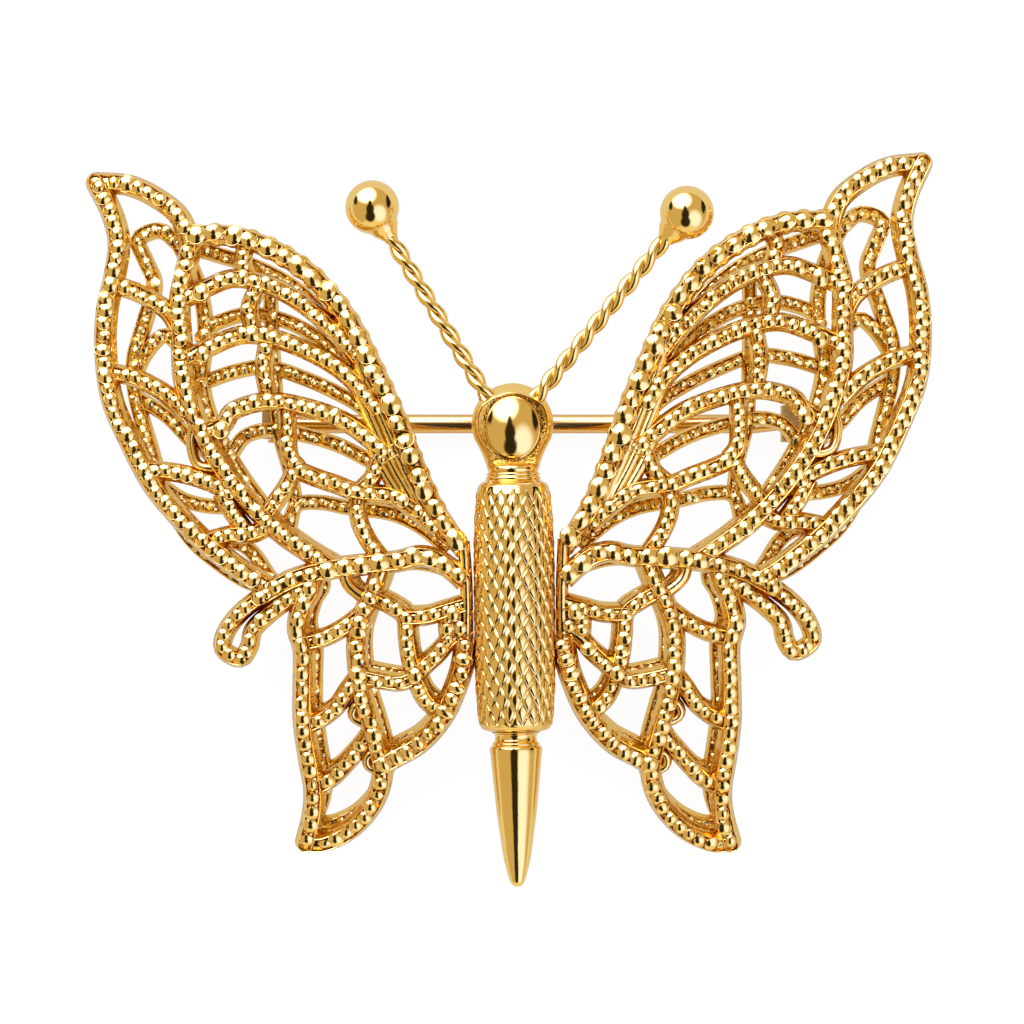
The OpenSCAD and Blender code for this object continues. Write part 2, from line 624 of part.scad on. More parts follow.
// Puts +Z along the hinge's axis, +X along the pin and +Y down, away from the wings
module hinge_frame() {
  translate([-hinge_reach, pin_y, pin_lift]) rotate([90, 0, 0]) children();
}

module hinge_bracket() {
  ear_inside = eye_thickness / 2 + seat_gap;
  half = bracket_width / 2;
  color(DEEP_GOLD) hinge_frame() {
    for (side = [-1, 1])
      translate([0, 0, side * (ear_inside + ear_thickness / 2) - ear_thickness / 2])
        linear_extrude(ear_thickness) difference() {
          union() {
            translate([-half, ear_round - pin_lift]) square([bracket_width, hinge_base - ear_round]);
            translate([-half + ear_round, -pin_lift]) square([bracket_width - 2 * ear_round, ear_round]);
            for (x = [-1, 1]) translate([x * (half - ear_round), ear_round - pin_lift])
              circle(r = ear_round, $fn = 32);
          }
          circle(r = rivet_radius + seat_gap / 2, $fn = 32);
        }
    translate([-half, hinge_base - pin_lift - base_thickness, -ear_inside - ear_thickness])
      cube([bracket_width, base_thickness, 2 * (ear_inside + ear_thickness)]);
  }
}

module hinge_rivet() {
  reach = eye_thickness / 2 + seat_gap + ear_thickness + seat_gap / 2;
  color(PALE_GOLD) hinge_frame() {
    cylinder(r = rivet_radius, h = 2 * reach, center = true, $fn = 48);
    for (side = [-1, 1]) translate([0, 0, side * (reach + rivet_head_thickness / 2)])
      cylinder(r = rivet_head_radius, h = rivet_head_thickness, center = true, $fn = 48);
  }
}

module pin_stem() {
  color(PALE_GOLD) difference() {
    union() {
      hinge_frame() {
        cylinder(r = eye_radius, h = eye_thickness, center = true, $fn = 48);
        translate([0, -tang_height / 2, -eye_thickness / 2])
          cube([stem_start + pin_radius / 2, tang_height, eye_thickness]);
      }
      translate([-hinge_reach, pin_y, pin_lift]) rotate([0, 90, 0]) rotate_extrude($fn = 48)
        polygon([[0, stem_start], [pin_radius, stem_start], [pin_radius, wall_end],
                 [point_radius, point_end], [0, point_end]]);
    }
    hinge_frame() cylinder(r = rivet_radius + running_gap, h = 2 * eye_thickness, center = true, $fn = 48);
  }
}

module catch() {
  half = catch_span / 2;
  color(DEEP_GOLD) translate([catch_reach - bracket_width / 2, pin_y, 0]) rotate([90, 0, 90])
    linear_extrude(bracket_width) difference() {
      translate([-half, 0]) square([catch_span, catch_base]);
      translate([0, pin_lift]) circle(r = chamber_radius, $fn = 48);
      translate([-mouth_width / 2, -pin_lift]) square([mouth_width, 2 * pin_lift]);
    }
}

front_wing_left();
front_wing_right();
under_wing_left();
under_wing_right();
thorax();
neck_ring();
tail_spike();
head_setting();
head_dome();
antenna_left();
antenna_right();
antenna_ball_left();
antenna_ball_right();
hinge_bracket();
hinge_rivet();
pin_stem();
catch();
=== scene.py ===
import math
from collections import namedtuple

import bpy
import numpy as np
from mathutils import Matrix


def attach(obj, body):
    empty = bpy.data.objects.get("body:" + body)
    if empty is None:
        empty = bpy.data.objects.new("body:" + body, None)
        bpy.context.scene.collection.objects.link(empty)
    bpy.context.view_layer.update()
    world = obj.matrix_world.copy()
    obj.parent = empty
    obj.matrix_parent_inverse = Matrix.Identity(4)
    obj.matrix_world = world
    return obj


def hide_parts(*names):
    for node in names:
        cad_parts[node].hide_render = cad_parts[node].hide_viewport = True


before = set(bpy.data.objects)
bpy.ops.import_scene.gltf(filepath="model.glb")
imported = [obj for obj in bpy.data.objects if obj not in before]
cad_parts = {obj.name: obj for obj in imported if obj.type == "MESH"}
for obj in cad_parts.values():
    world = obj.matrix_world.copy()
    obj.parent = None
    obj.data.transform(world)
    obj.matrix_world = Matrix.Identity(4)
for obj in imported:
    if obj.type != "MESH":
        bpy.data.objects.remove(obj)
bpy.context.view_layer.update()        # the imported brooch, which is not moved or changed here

MM = 0.001
LEFT, RIGHT = -1, 1

# Sizes of the construction, which the detailed pieces keep to, with its gaps and angles
WING_REACH = 25.3
FORE_HEIGHT = 22.6
HIND_DEPTH = 17.4
RIGHT_TURN = math.tan(math.radians(2.7))
RIGHT_STRETCH = 1.022
WING_CREST = 5.7
SIDE_FALL = 2.4
FORE_FALL = 1.6
LAYER_DROP = 1.5
UNDER_SCALE = 0.935
FRONT_DEPTH = 1.0
UNDER_DEPTH = 0.85
UNDER_WIDTH = 0.95
EDGE_WIDTH = 1.25
FINE_WIDTH = 0.75
BARREL_LENGTH = 14.8
BARREL_TOP = 4.3
BARREL_RADIUS = 2.4
BARREL_END_RADIUS = 2.12
BAND_WIDTH = 0.5
SCALE_ROWS = 19
BODY_SINK = 0.5
BODY_LEAN = math.radians(0.6)
GROOVE_LENGTH = 0.95
SPIKE_LENGTH = 8.35
HEAD_RADIUS = 2.46
HEAD_DROP = 2.75
NECK_RADIUS = 1.52
NECK_LENGTH = 0.85
RIM_HEIGHT = 0.95
ANTENNA_LENGTH = {LEFT: 13.1, RIGHT: 14.0}
ANTENNA_ANGLE = {LEFT: math.radians(30.6), RIGHT: math.radians(39.8)}
ANTENNA_RISE = 0.6
ROOT_ANGLE = math.radians(42)
ROOT_INSET = 0.1
BALL_RADIUS = 1.62
WING_GAP = 0.1

# The wing's chart: places in shares, out from the body's middle and up from the wing root
FORE_TIP = (99, 88.5)
HIND_TIP = (49.2, -68.3)
ROOT_SHARE = 11
RAISE_DEPTH = 0.75
HIND_TURN = 0.36

# Places that follow from the sizes
ROOT_REACH = BARREL_RADIUS + WING_GAP + FINE_WIDTH / 2
SHARE = (WING_REACH - ROOT_REACH) / (FORE_TIP[0] - ROOT_SHARE)
BARREL_FOOT = BARREL_TOP - BARREL_LENGTH
SPIKE_TOP = BARREL_FOOT - GROOVE_LENGTH
TAIL_END = SPIKE_TOP - SPIKE_LENGTH
NECK_TOP = BARREL_TOP + NECK_LENGTH
HEAD_Y = NECK_TOP + HEAD_DROP
ROOT_Y = -(FORE_HEIGHT + RIGHT_TURN * WING_REACH + EDGE_WIDTH / 2 + TAIL_END) / 2
BODY_Z = WING_CREST - BODY_SINK

# A kind of wire: the width of its foot and of its top, how high its rails stand over the layer's
# middle, and the width, stretch and pitch (as a share of their length) of the beads along it
Kind = namedtuple("Kind", "foot top rise bead stretch pitch")
FRONT_KINDS = {
    "edge": Kind(1.38, 1.00, 0.36, 1.00, 0.98, 0.80),
    "rim": Kind(1.26, 1.04, 0.36, 1.16, 1.12, 0.88),
    "lip": Kind(1.46, 1.04, 0.36, 1.08, 0.80, 0.98),
    "hem": Kind(1.36, 0.96, 0.36, 0.90, 1.12, 0.84),
    "bar": Kind(1.36, 1.06, 0.35, 1.08, 1.0, 0.94),
    "vein": Kind(1.32, 0.96, 0.31, 0.95, 0.98, 0.84),
    "rib": Kind(1.16, 0.84, 0.23, 0.84, 1.0, 0.84),
    "post": Kind(1.12, 0.82, 0.17, 0.80, 1.0, 0.86),
    "fine": Kind(0.75, 0.62, 0.12, 0, 0, 0),
    "leaf": Kind(0.62, 0.48, 0.2, 0, 0, 0),
}
UNDER_EDGE = Kind(1.0, 0.88, 0.32, 0.76, 1.05, 0.88)
UNDER_KINDS = {
    "edge": UNDER_EDGE,
    "rim": UNDER_EDGE,
    "lip": UNDER_EDGE,
    "hem": UNDER_EDGE,
    "bar": UNDER_EDGE,
    "vein": Kind(1.0, 0.86, 0.28, 0.74, 1.05, 0.88),
    "rib": Kind(0.94, 0.80, 0.22, 0.68, 1.05, 0.88),
    "post": Kind(0.92, 0.78, 0.17, 0.64, 1.05, 0.88),
    "fine": Kind(0.75, 0.62, 0.10, 0, 0, 0),
}

# Wires, as their kind and their places on the chart
FORE_FRAME = [
    ("edge", [(99, 88.5), (95.4, 81.4), (93.6, 74.5), (94.4, 67), (96.3, 58), (96.6, 48), (95, 37.1),
        (90.7, 27.2), (85.2, 17), (78.5, 9), (70.5, 1.5), (61.5, -5), (57, -7.6)]),
    ("vein", [(99, 88.5), (91.2, 87.8), (84.3, 84.6), (78.9, 80), (76.6, 73), (77.6, 67), (78.9, 60),
        (78.4, 51), (77.9, 42), (75.4, 34), (71.3, 25), (66.6, 18), (60.9, 11.3), (54, 4.9),
        (46.3, -0.2), (42, -3)]),
    ("rim", [(77, 75.6), (66.3, 75.5), (55.8, 71.7), (46.4, 65), (38.6, 55.2), (32.6, 43.6), (27.7, 33),
        (23.2, 21.6), (18, 10.4), (11.7, 2.2)]),
    ("bar", [(59.6, -9.7), (52, -5.6), (43.3, -3.1), (35.1, -2), (27, -1.2), (22.3, 0), (18.3, -0.7),
        (14.6, -3), (11.3, -6)]),
    ("rib", [(59.6, -9.7), (64.2, -13.4), (67.6, -17.8), (68.4, -22), (64.4, -24.3), (62.2, -21.4),
        (61.3, -17.6), (57.8, -14), (53.5, -10.7), (49, -8)]),
]
CROSS_VEINS = [
    ("rib", [(95.4, 64.5), (88, 61.8), (82, 58), (79, 53.5)]),
    ("rib", [(96, 43.5), (89.6, 42.1), (82.3, 38.4), (76.5, 33)]),
    ("rib", [(86, 20.5), (77.4, 19.2), (70.2, 16.8), (65.5, 14)]),
    ("post", [(68.9, 15), (66, 10), (61.8, 4.6)]),
    ("rib", [(73.5, 3.2), (66.5, 5), (61.5, 5.2), (57.5, 7)]),
]
RIBS = [
    ("rib", [(78, 60.5), (72.6, 63.2), (65.6, 65.5), (56.7, 63.4), (48.4, 58.5), (41, 51.8), (36, 46)]),
    ("rib", [(77.5, 46.3), (71.4, 49.4), (63.3, 52.2), (53.9, 50.5), (44, 46), (37, 40.6), (31.5, 33.5)]),
    ("rib", [(73, 28.8), (68.3, 31), (65.8, 34.3), (57.8, 36.4), (48.5, 34.9), (39.2, 31.4), (29.5, 24)]),
    ("rib", [(51, 20.3), (46.3, 18.4), (41.5, 16.8), (36.5, 15), (29, 14.3), (24, 11.5), (17.5, 6.5)]),
    ("fine", [(37.4, 48.5), (34.2, 40), (29.9, 30), (25.9, 21), (20.6, 10.5)]),
]
UPRIGHTS = [
    ("post", [(63, 74.5), (63.8, 69), (62, 64.5)]),
    ("post", [(59.6, 64.2), (62.2, 58.5), (61, 51.5)]),
    ("post", [(58, 50.5), (58.7, 43.5), (57.2, 36)]),
    ("post", [(53.3, 36), (53.1, 29), (52.6, 23.5), (50.4, 20.6)]),
    ("post", [(51.6, 19.9), (53.6, 16), (58.5, 9)]),
    ("post", [(36.5, 15), (36.3, 9), (34.2, 4), (30.3, -1.3)]),
    ("post", [(36.5, 15), (33, 18.5), (31.5, 22.5), (27.4, 25)]),
    ("fine", [(11.6, 3.5), (11, -5), (10.8, -13), (10.9, -21)]),
]
HIND_FRAME = [
    ("hem", [(47.6, -3.4), (47.4, -7.8), (49.3, -11), (50.7, -16.8), (49.3, -22.5), (49.4, -31),
        (49.4, -39.5), (48.3, -48), (47.1, -55.5), (47.5, -61.5), (49.2, -68.3)]),
    ("vein", [(30.6, -2.5), (32.3, -7.3), (34.7, -12.5), (36.5, -18.5), (36.6, -25), (35.5, -33),
        (33.3, -40.5), (31.6, -47), (31, -53), (33.4, -59.3), (38.4, -65), (44.6, -68.2), (49.2, -68.3)]),
    ("lip", [(31.8, -49.8), (27.3, -47.3), (23, -44.9), (19.2, -41.3), (16, -36.8), (13.7, -31.6),
        (11.9, -26), (10.9, -19.5)]),
]
HIND_VEINS = [
    ("rib", [(49.5, -20.6), (44.9, -19.5), (40, -17), (35.8, -13.8)]),
    ("rib", [(49.4, -40.4), (45, -38.4), (41.4, -35.4), (38.9, -31.6), (36.2, -28)]),
    ("rib", [(47.3, -55.2), (42.9, -52.8), (39.3, -49.1), (36.2, -45.4), (33.5, -41.5)]),
    ("rib", [(36.2, -28.2), (31, -29.3), (26.5, -29.8), (22.3, -28.2)]),
    ("rib", [(23.3, -28.1), (21, -33.3), (18.5, -35.9), (15.8, -37.8)]),
    ("rib", [(33, -9.5), (28.7, -11.7), (25.4, -14.3), (24.8, -19.5), (24.2, -24), (22.7, -29.1)]),
    ("rib", [(26, -14.5), (20.5, -14.2), (16.2, -12.9), (11.5, -11.5)]),
    ("rib", [(14.8, -12.3), (15.4, -16), (15.1, -19.1)]),
    ("rib", [(11.3, -17.3), (14.8, -19.6), (17.6, -23), (20.8, -26), (23.5, -29)]),
    ("fine", [(39.8, -3.5), (38.6, -7), (35, -10)]),
]
UNDER_FRAME = [
    ("edge", [(79.5, 74), (84, 77.2), (89.2, 75), (87.4, 70), (85.2, 64), (87.6, 55), (90, 46),
        (89.3, 37), (86.3, 26.5), (82.6, 15), (76.6, 4.5), (69.5, -1.8), (63, -6), (57, -8.6)]),
    ("vein", [(79.5, 74), (75.6, 66.5), (73.4, 58.5), (73, 50.5), (73.8, 42), (72, 33.5), (68, 25),
        (62, 15.8), (55.5, 8), (48, 2.2), (40, -2.5)]),
    ("edge", [(79.5, 74), (70, 71.3), (59.5, 67.7), (50, 62), (42, 53.4), (36, 43.6), (31, 33.5),
        (26.4, 23), (21.2, 12.6), (15.8, 5), (11.6, 0)]),
    ("vein", [(57, -8.6), (50, -5.6), (40, -2.8), (30, -2), (21, -1.6), (11.2, -4.6)]),
]
UNDER_VEINS = [
    ("rib", [(90, 42.5), (87, 48.2), (83, 52.2), (79.5, 50), (74, 44)]),
    ("rib", [(89.5, 37.6), (82, 33), (76, 27), (69.5, 22.5)]),
    ("rib", [(83.2, 16.4), (77, 12.8), (68.5, 11.6), (60, 13.2)]),
    ("rib", [(73.6, 0.8), (66.5, 3.2), (61.8, 1), (57.5, -5), (55, -7.6)]),
    ("rib", [(73.2, 52.5), (70, 55.2), (62.5, 57.2), (54.4, 55.7), (47, 52), (40, 46.4), (33, 38)]),
    ("rib", [(73.8, 40.8), (66, 43.5), (58, 44.6), (49.5, 42), (41.4, 38.4), (35, 34.6), (28.5, 28)]),
    ("rib", [(67, 23.4), (63.4, 28.2), (57, 29.8), (49.2, 28.5), (41.4, 26.2), (34, 22.5), (24, 17)]),
    ("rib", [(53, 5.5), (51.3, 11.8), (45.5, 12.6), (38.4, 11.3), (29.1, 10.1), (22, 7), (15, 1.5)]),
    ("post", [(57.5, 66.8), (57.3, 57), (56.6, 44.5), (55.3, 29.6), (52.6, 19.5), (51.3, 11.8)]),
    ("fine", [(11.5, 1.5), (11, -5), (10.8, -13), (10.7, -20)]),
]

# Fine smooth ribs and small leaf loops that are too thin for the construction
THIN_RIBS = [
    ("leaf", [(34.7, -34.2), (37.3, -35.6), (37.6, -38.2), (33.9, -40.2)]),
    ("leaf", [(31.8, -46), (34.3, -47.2), (34.2, -49.8), (31.4, -51.2)]),
    ("leaf", [(75, 31.5), (76, 27), (74.4, 21.6), (69, 20.5)]),
    ("fine", [(36.8, 40), (32.4, 30), (28.2, 21), (23.3, 12.5)]),
    ("fine", [(33.5, 26.5), (30.4, 20), (26, 13)]),
]

# Large round beads, as a place on the chart and a radius in its shares
BIG_BEADS = [
    ((98.2, 87.3), 1.7),
    ((48.9, -67.3), 1.7),
    ((73.5, 62), 2.2),
    ((73.1, 47.3), 1.9),
    ((68.6, 29.7), 2.2),
    ((23.2, -28), 1.8),
    ((47.6, -4), 1.8),
    ((47.3, -7.6), 1.8),
    ((49.3, -11), 1.8),
    ((52, -5.5), 1.7),
    ((56, -7.4), 1.8),
    ((59.7, -9.7), 1.9),
    ((25.8, 12.9), 1.5),
    ((22.4, 10.5), 1.5),
    ((13.8, -13.5), 1.7),
    ((12.4, -16.8), 1.6),
]
UNDER_BEADS = [
    ((73.2, 51.5), 2.0),
    ((73.7, 40.9), 2.0),
    ((67, 23.5), 2.0),
    ((53.1, 5.5), 2.0),
    ((68.3, 11.6), 1.8),
    ((57.2, 56.9), 1.8),
    ((56.5, 44.4), 1.8),
    ((55.3, 29.6), 1.8),
]


# Points, faces and frames

def unit(vectors):
    return vectors / np.linalg.norm(vectors, axis=-1, keepdims=True)


def spots(points, side, size=1.0):
    """Charted places in millimetres from the wing root."""
    chart = np.array(points, float)
    v = chart[:, 1] * size
    x = ROOT_REACH + (chart[:, 0] - ROOT_SHARE) * size * SHARE
    y = np.where(v < 0, v * HIND_DEPTH / -HIND_TIP[1], v * FORE_HEIGHT / FORE_TIP[1])
    if side == RIGHT:
        raised = np.clip(1 + y / (RAISE_DEPTH * HIND_DEPTH), 0, 1)
        out = ROOT_REACH + (x - ROOT_REACH) * RIGHT_STRETCH
        x, y = out - RIGHT_TURN * y * np.where(y < 0, HIND_TURN, 1), y + RIGHT_TURN * x * raised
    return np.column_stack([side * x, y])


UNDER_TIP = spots([HIND_TIP], LEFT, UNDER_SCALE)[0]
UNDER_ROOM = WING_CREST - LAYER_DROP - UNDER_DEPTH
HIND_FALL = (UNDER_ROOM + UNDER_DEPTH / 2 - UNDER_ROOM / HIND_DEPTH * UNDER_WIDTH
             - SIDE_FALL * (UNDER_TIP[0] / WING_REACH) ** 2) / UNDER_SCALE ** 2


def framed(flat, sink):
    """Places on a wing layer's middle, with the directions along, aside and up at each."""
    x, y = flat.T
    fore = y >= 0
    fall = (SIDE_FALL * (x / WING_REACH) ** 2
            + np.where(fore, FORE_FALL * (y / FORE_HEIGHT) ** 2, HIND_FALL * (y / HIND_DEPTH) ** 2))
    slope = np.where(fore, 2 * FORE_FALL * y / FORE_HEIGHT ** 2, 2 * HIND_FALL * y / HIND_DEPTH ** 2)
    up = unit(np.column_stack([2 * SIDE_FALL * x / WING_REACH ** 2, slope, np.ones(len(x))]))
    places = np.column_stack([x, y + ROOT_Y, WING_CREST - sink - fall])
    along = unit(np.gradient(places, axis=0)) if len(places) > 1 else np.tile((1.0, 0, 0), (len(x), 1))
    aside = unit(np.cross(along, up))
    return places, np.cross(up, aside), aside, up


def smooth_route(points, step):
    """Evenly spaced places along a smooth curve through the points."""
    p = np.vstack([2 * points[0] - points[1], points, 2 * points[-1] - points[-2]])
    t = np.linspace(0, 1, 16, endpoint=False)[:, None]
    arcs = [0.5 * (2 * b + (c - a) * t + (2 * a - 5 * b + 4 * c - d) * t ** 2
                   + (3 * b - a - 3 * c + d) * t ** 3)
            for a, b, c, d in zip(p, p[1:], p[2:], p[3:])]
    dense = np.vstack(arcs + [points[-1:]])
    reach = np.r_[0, np.cumsum(np.linalg.norm(np.diff(dense, axis=0), axis=1))]
    at = np.linspace(0, reach[-1], max(3, round(reach[-1] / step) + 1))
    return np.column_stack([np.interp(at, reach, column) for column in dense.T])


def skin(rings):
    """Closed skin over rings of points; each ring runs anticlockwise seen from the one before it."""
    count, sides = rings.shape[:2]
    faces = [list(range(sides)), list(range(count * sides - 1, (count - 1) * sides - 1, -1))]
    for start in range(0, (count - 1) * sides, sides):
        for k in range(sides):
            a, b = start + k, start + (k + 1) % sides
            faces.append([a, a + sides, b + sides, b])
    return rings.reshape(-1, 3), faces


def turned(profile, segments):
    """Closed skin of (radius, height) pairs, from the foot up, turned about Z."""
    angles = np.arange(segments) * 2 * math.pi / segments
    points, faces, rows = [], [], []
    for radius, height in profile:
        first = len(points)
        if radius == 0:
            points.append((0, 0, height))
            rows.append([first] * segments)
        else:
            points += [(radius * math.cos(a), radius * math.sin(a), height) for a in angles]
            rows.append(list(range(first, first + segments)))
    for low, high in zip(rows, rows[1:]):
        for k in range(segments):
            j = (k + 1) % segments
            faces.append(list(dict.fromkeys([low[k], low[j], high[j], high[k]])))
    if profile[0][0]:
        faces.append(rows[0][::-1])
    if profile[-1][0]:
        faces.append(rows[-1])
    return np.array(points, float), faces


def placed(points, origin, x_axis, y_axis, z_axis):
    return np.asarray(origin) + points @ np.array([x_axis, y_axis, z_axis])


def mesh_of(name, parts):
    """One mesh in millimetres from several (points, faces) parts."""
    points = np.vstack([p for p, _ in parts])
    starts = np.cumsum([0] + [len(p) for p, _ in parts])
    faces = [[v + start for v in face] for start, (_, part) in zip(starts, parts) for face in part]
    mesh = bpy.data.meshes.new(name)
    mesh.from_pydata(points.tolist(), [], faces)
    return mesh


def fused(name, parts):
    """One closed mesh from closed parts that overlap."""
    pool = bpy.data.collections.new(name + "_parts")
    bpy.context.scene.collection.children.link(pool)
    objects = [bpy.data.objects.new(f"{name}_{i}", mesh_of(f"{name}_{i}", [part]))
               for i, part in enumerate(parts)]
    whole = objects[0]
    bpy.context.scene.collection.objects.link(whole)
    for other in objects[1:]:
        pool.objects.link(other)
    union = whole.modifiers.new("union", "BOOLEAN")
    union.operation, union.operand_type, union.solver = "UNION", "COLLECTION", "MANIFOLD"
    union.collection = pool
    graph = bpy.context.evaluated_depsgraph_get()
    mesh = bpy.data.meshes.new_from_object(whole.evaluated_get(graph))
    for o in objects:
        old = o.data
        bpy.data.objects.remove(o)
        bpy.data.meshes.remove(old)
    bpy.data.collections.remove(pool)
    return mesh


def piece(name, mesh, material, nodes=(), sharp=40, body="brooch"):
    """A finished piece from a mesh in millimetres, which rides on a body and stands for CAD nodes."""
    mesh.name = name
    mesh.transform(((MM, 0, 0, 0), (0, MM, 0, 0), (0, 0, MM, 0), (0, 0, 0, 1)))
    mesh.shade_smooth()
    mesh.set_sharp_from_angle(angle=math.radians(sharp))
    mesh.materials.clear()
    mesh.materials.append(material)
    o = bpy.data.objects.new(name, mesh)
    bpy.context.scene.collection.objects.link(o)
    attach(o, body)
    if nodes:
        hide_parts(*nodes)
    return o


ACROSS = np.array([1.0, 0, 0])
OUT = np.array([0, 0, 1.0])

# Body frame: X across, Y towards the head along the leaning body, Z out of the front
BODY_X = np.array([math.cos(BODY_LEAN), math.sin(BODY_LEAN), 0])
BODY_Y = np.array([-math.sin(BODY_LEAN), math.cos(BODY_LEAN), 0])
BODY_ORIGIN = np.array([0, ROOT_Y, BODY_Z])


def in_body(points):
    return placed(points, BODY_ORIGIN, BODY_X, BODY_Y, OUT)


def along_body(points):
    """A part turned about Z, laid along the body with its top towards the head."""
    return placed(points, BODY_ORIGIN, BODY_X, -OUT, BODY_Y)


# Wings

RAIL_INSET = 0.07        # how far a rail's middle stands in from the wire's side
RAIL_HALF = 0.035        # half a rail's thickness
CHANNEL = 0.2            # how deep the channel lies beside the rails
RIDGE = 0.09             # how deep the channel's rounded middle lies
BEAD_SINK = 0.06         # how far a bead's foot lies below the rails
FOOT_ROUND = 0.07        # rounding of a wire's foot
FLANK_LEAN = 0.04        # how far a wire's side leans in up to the place where it turns
FLANK_TURN = 0.35        # height of that place, as a share of the foot's depth
NARROWING = 0.5          # share of its width that the rim loses at the barrel
NARROW_REACH = 2.2       # how far from its end it starts to


def wire_half_section(kind, depth):
    """Right half of a wire's section, from its foot round to its channel."""
    wide, half, foot = kind.foot / 2, kind.top / 2, -depth / 2
    flank = [(wide - FOOT_ROUND, foot), (wide, foot + FOOT_ROUND),
             (wide * (1 - FLANK_LEAN) + half * FLANK_LEAN, foot * FLANK_TURN)]
    if not kind.bead:
        return flank + [(half, kind.rise - 0.2), (half * 0.7, kind.rise - 0.06), (half * 0.3, kind.rise)]
    rail = half - RAIL_INSET
    return flank + [(half, kind.rise - 0.11), (rail + RAIL_HALF, kind.rise - 0.03), (rail, kind.rise),
                    (rail - RAIL_HALF, kind.rise - 0.03), (rail - 2 * RAIL_HALF, kind.rise - CHANNEL),
                    (half * 0.4, kind.rise - RIDGE - 0.03), (half * 0.12, kind.rise - RIDGE)]


def wire(route, kind, depth, sink, narrowed=False):
    """A wire along a route, which narrows at its far end where it meets the barrel."""
    half = wire_half_section(kind, depth)
    section = np.array(half + [(-x, z) for x, z in reversed(half)])
    places, _, aside, up = framed(route, sink)
    width = np.ones(len(route))
    if narrowed:
        left = np.linalg.norm(places - places[-1], axis=1)
        width = 1 - NARROWING * np.clip(1 - left / NARROW_REACH, 0, 1) ** 2
    return skin(places[:, None] + section[None, :, :1] * (aside * width[:, None])[:, None]
                + section[None, :, 1:] * up[:, None])


def wire_end(tip, kind, depth, sink):
    """Round end of a wire, with the same section as the wire."""
    places, along, aside, up = framed(tip, sink)
    half = wire_half_section(kind, depth)
    profile = [(0, half[0][1])] + half + [(0, half[-1][1])]
    points, faces = turned(profile, ROUND_SIDES)
    return placed(points, places[0], along[0], -aside[0], up[0]), faces


BEAD_SHARES = (1, 0.8, 0.6)   # sizes tried for a bead; only the least goes where wires cross
BEAD_ROOM = 0.7          # how near two beads may stand, as a share of their radii
CROSS_WIRE = 0.5         # how much of a crossing wire's half width counts as crossed
CROSS_BEAD = 0.15        # how much of a bead's radius does
TILT_SHARE = 2           # how much a bead's tilt varies for its variation in size
BIG_BEAD_SINK = 0.02     # how far a large bead's foot lies below the rails of a vein
DEPTH_SHARE, RISE_SHARE = 0.7, 0.3     # a lower wire is thinner, by this law of its rise
TIP_DEPTH = 1.02         # how much deeper the round end of a tip is than its wire
CAP_ANGLE = math.radians(43)   # how steep a bead is at the edge of its dome
CAP_EDGE = 0.95          # radius of that edge, for a bead of radius 1
LOBE_RADIUS = 0.71       # radius of the lumps under the rim's beads
ROUND_SIDES = 20         # sides of a lobe and of a wire's round end


def bead_profile(cap_steps, ring):
    """A bead of radius 1: a flattish dome, in a thin ring if it has one."""
    radius = CAP_EDGE / math.sin(CAP_ANGLE)
    foot = [(CAP_EDGE, -0.5)]
    if ring:
        foot = [(1.0, -0.55), (1.02, -0.05), (1.01, 0.0), (0.985, 0.01), (CAP_EDGE, 0.0)]
    angles = np.linspace(CAP_ANGLE, 0, cap_steps + 1)[:-1]
    if ring:
        angles = angles[1:]
    cap = [(radius * math.sin(a), radius * (math.cos(a) - math.cos(CAP_ANGLE))) for a in angles]
    return foot + cap + [(0, radius * (1 - math.cos(CAP_ANGLE)))]


def lobe(place, along, aside, up, kind, depth):
    """Round lump of metal under a bead, which makes the wire's side wavy. Its top stays just under
    the rails."""
    profile = [(LOBE_RADIUS - 0.1, -depth / 2), (LOBE_RADIUS, 0.1 - depth / 2), (LOBE_RADIUS, 0.0),
               (LOBE_RADIUS - 0.07, kind.rise - 0.16), (LOBE_RADIUS - 0.17, kind.rise - 0.07),
               (0, kind.rise - 0.065)]
    points, faces = turned(profile, ROUND_SIDES)
    return placed(points, place, along, -aside, up), faces


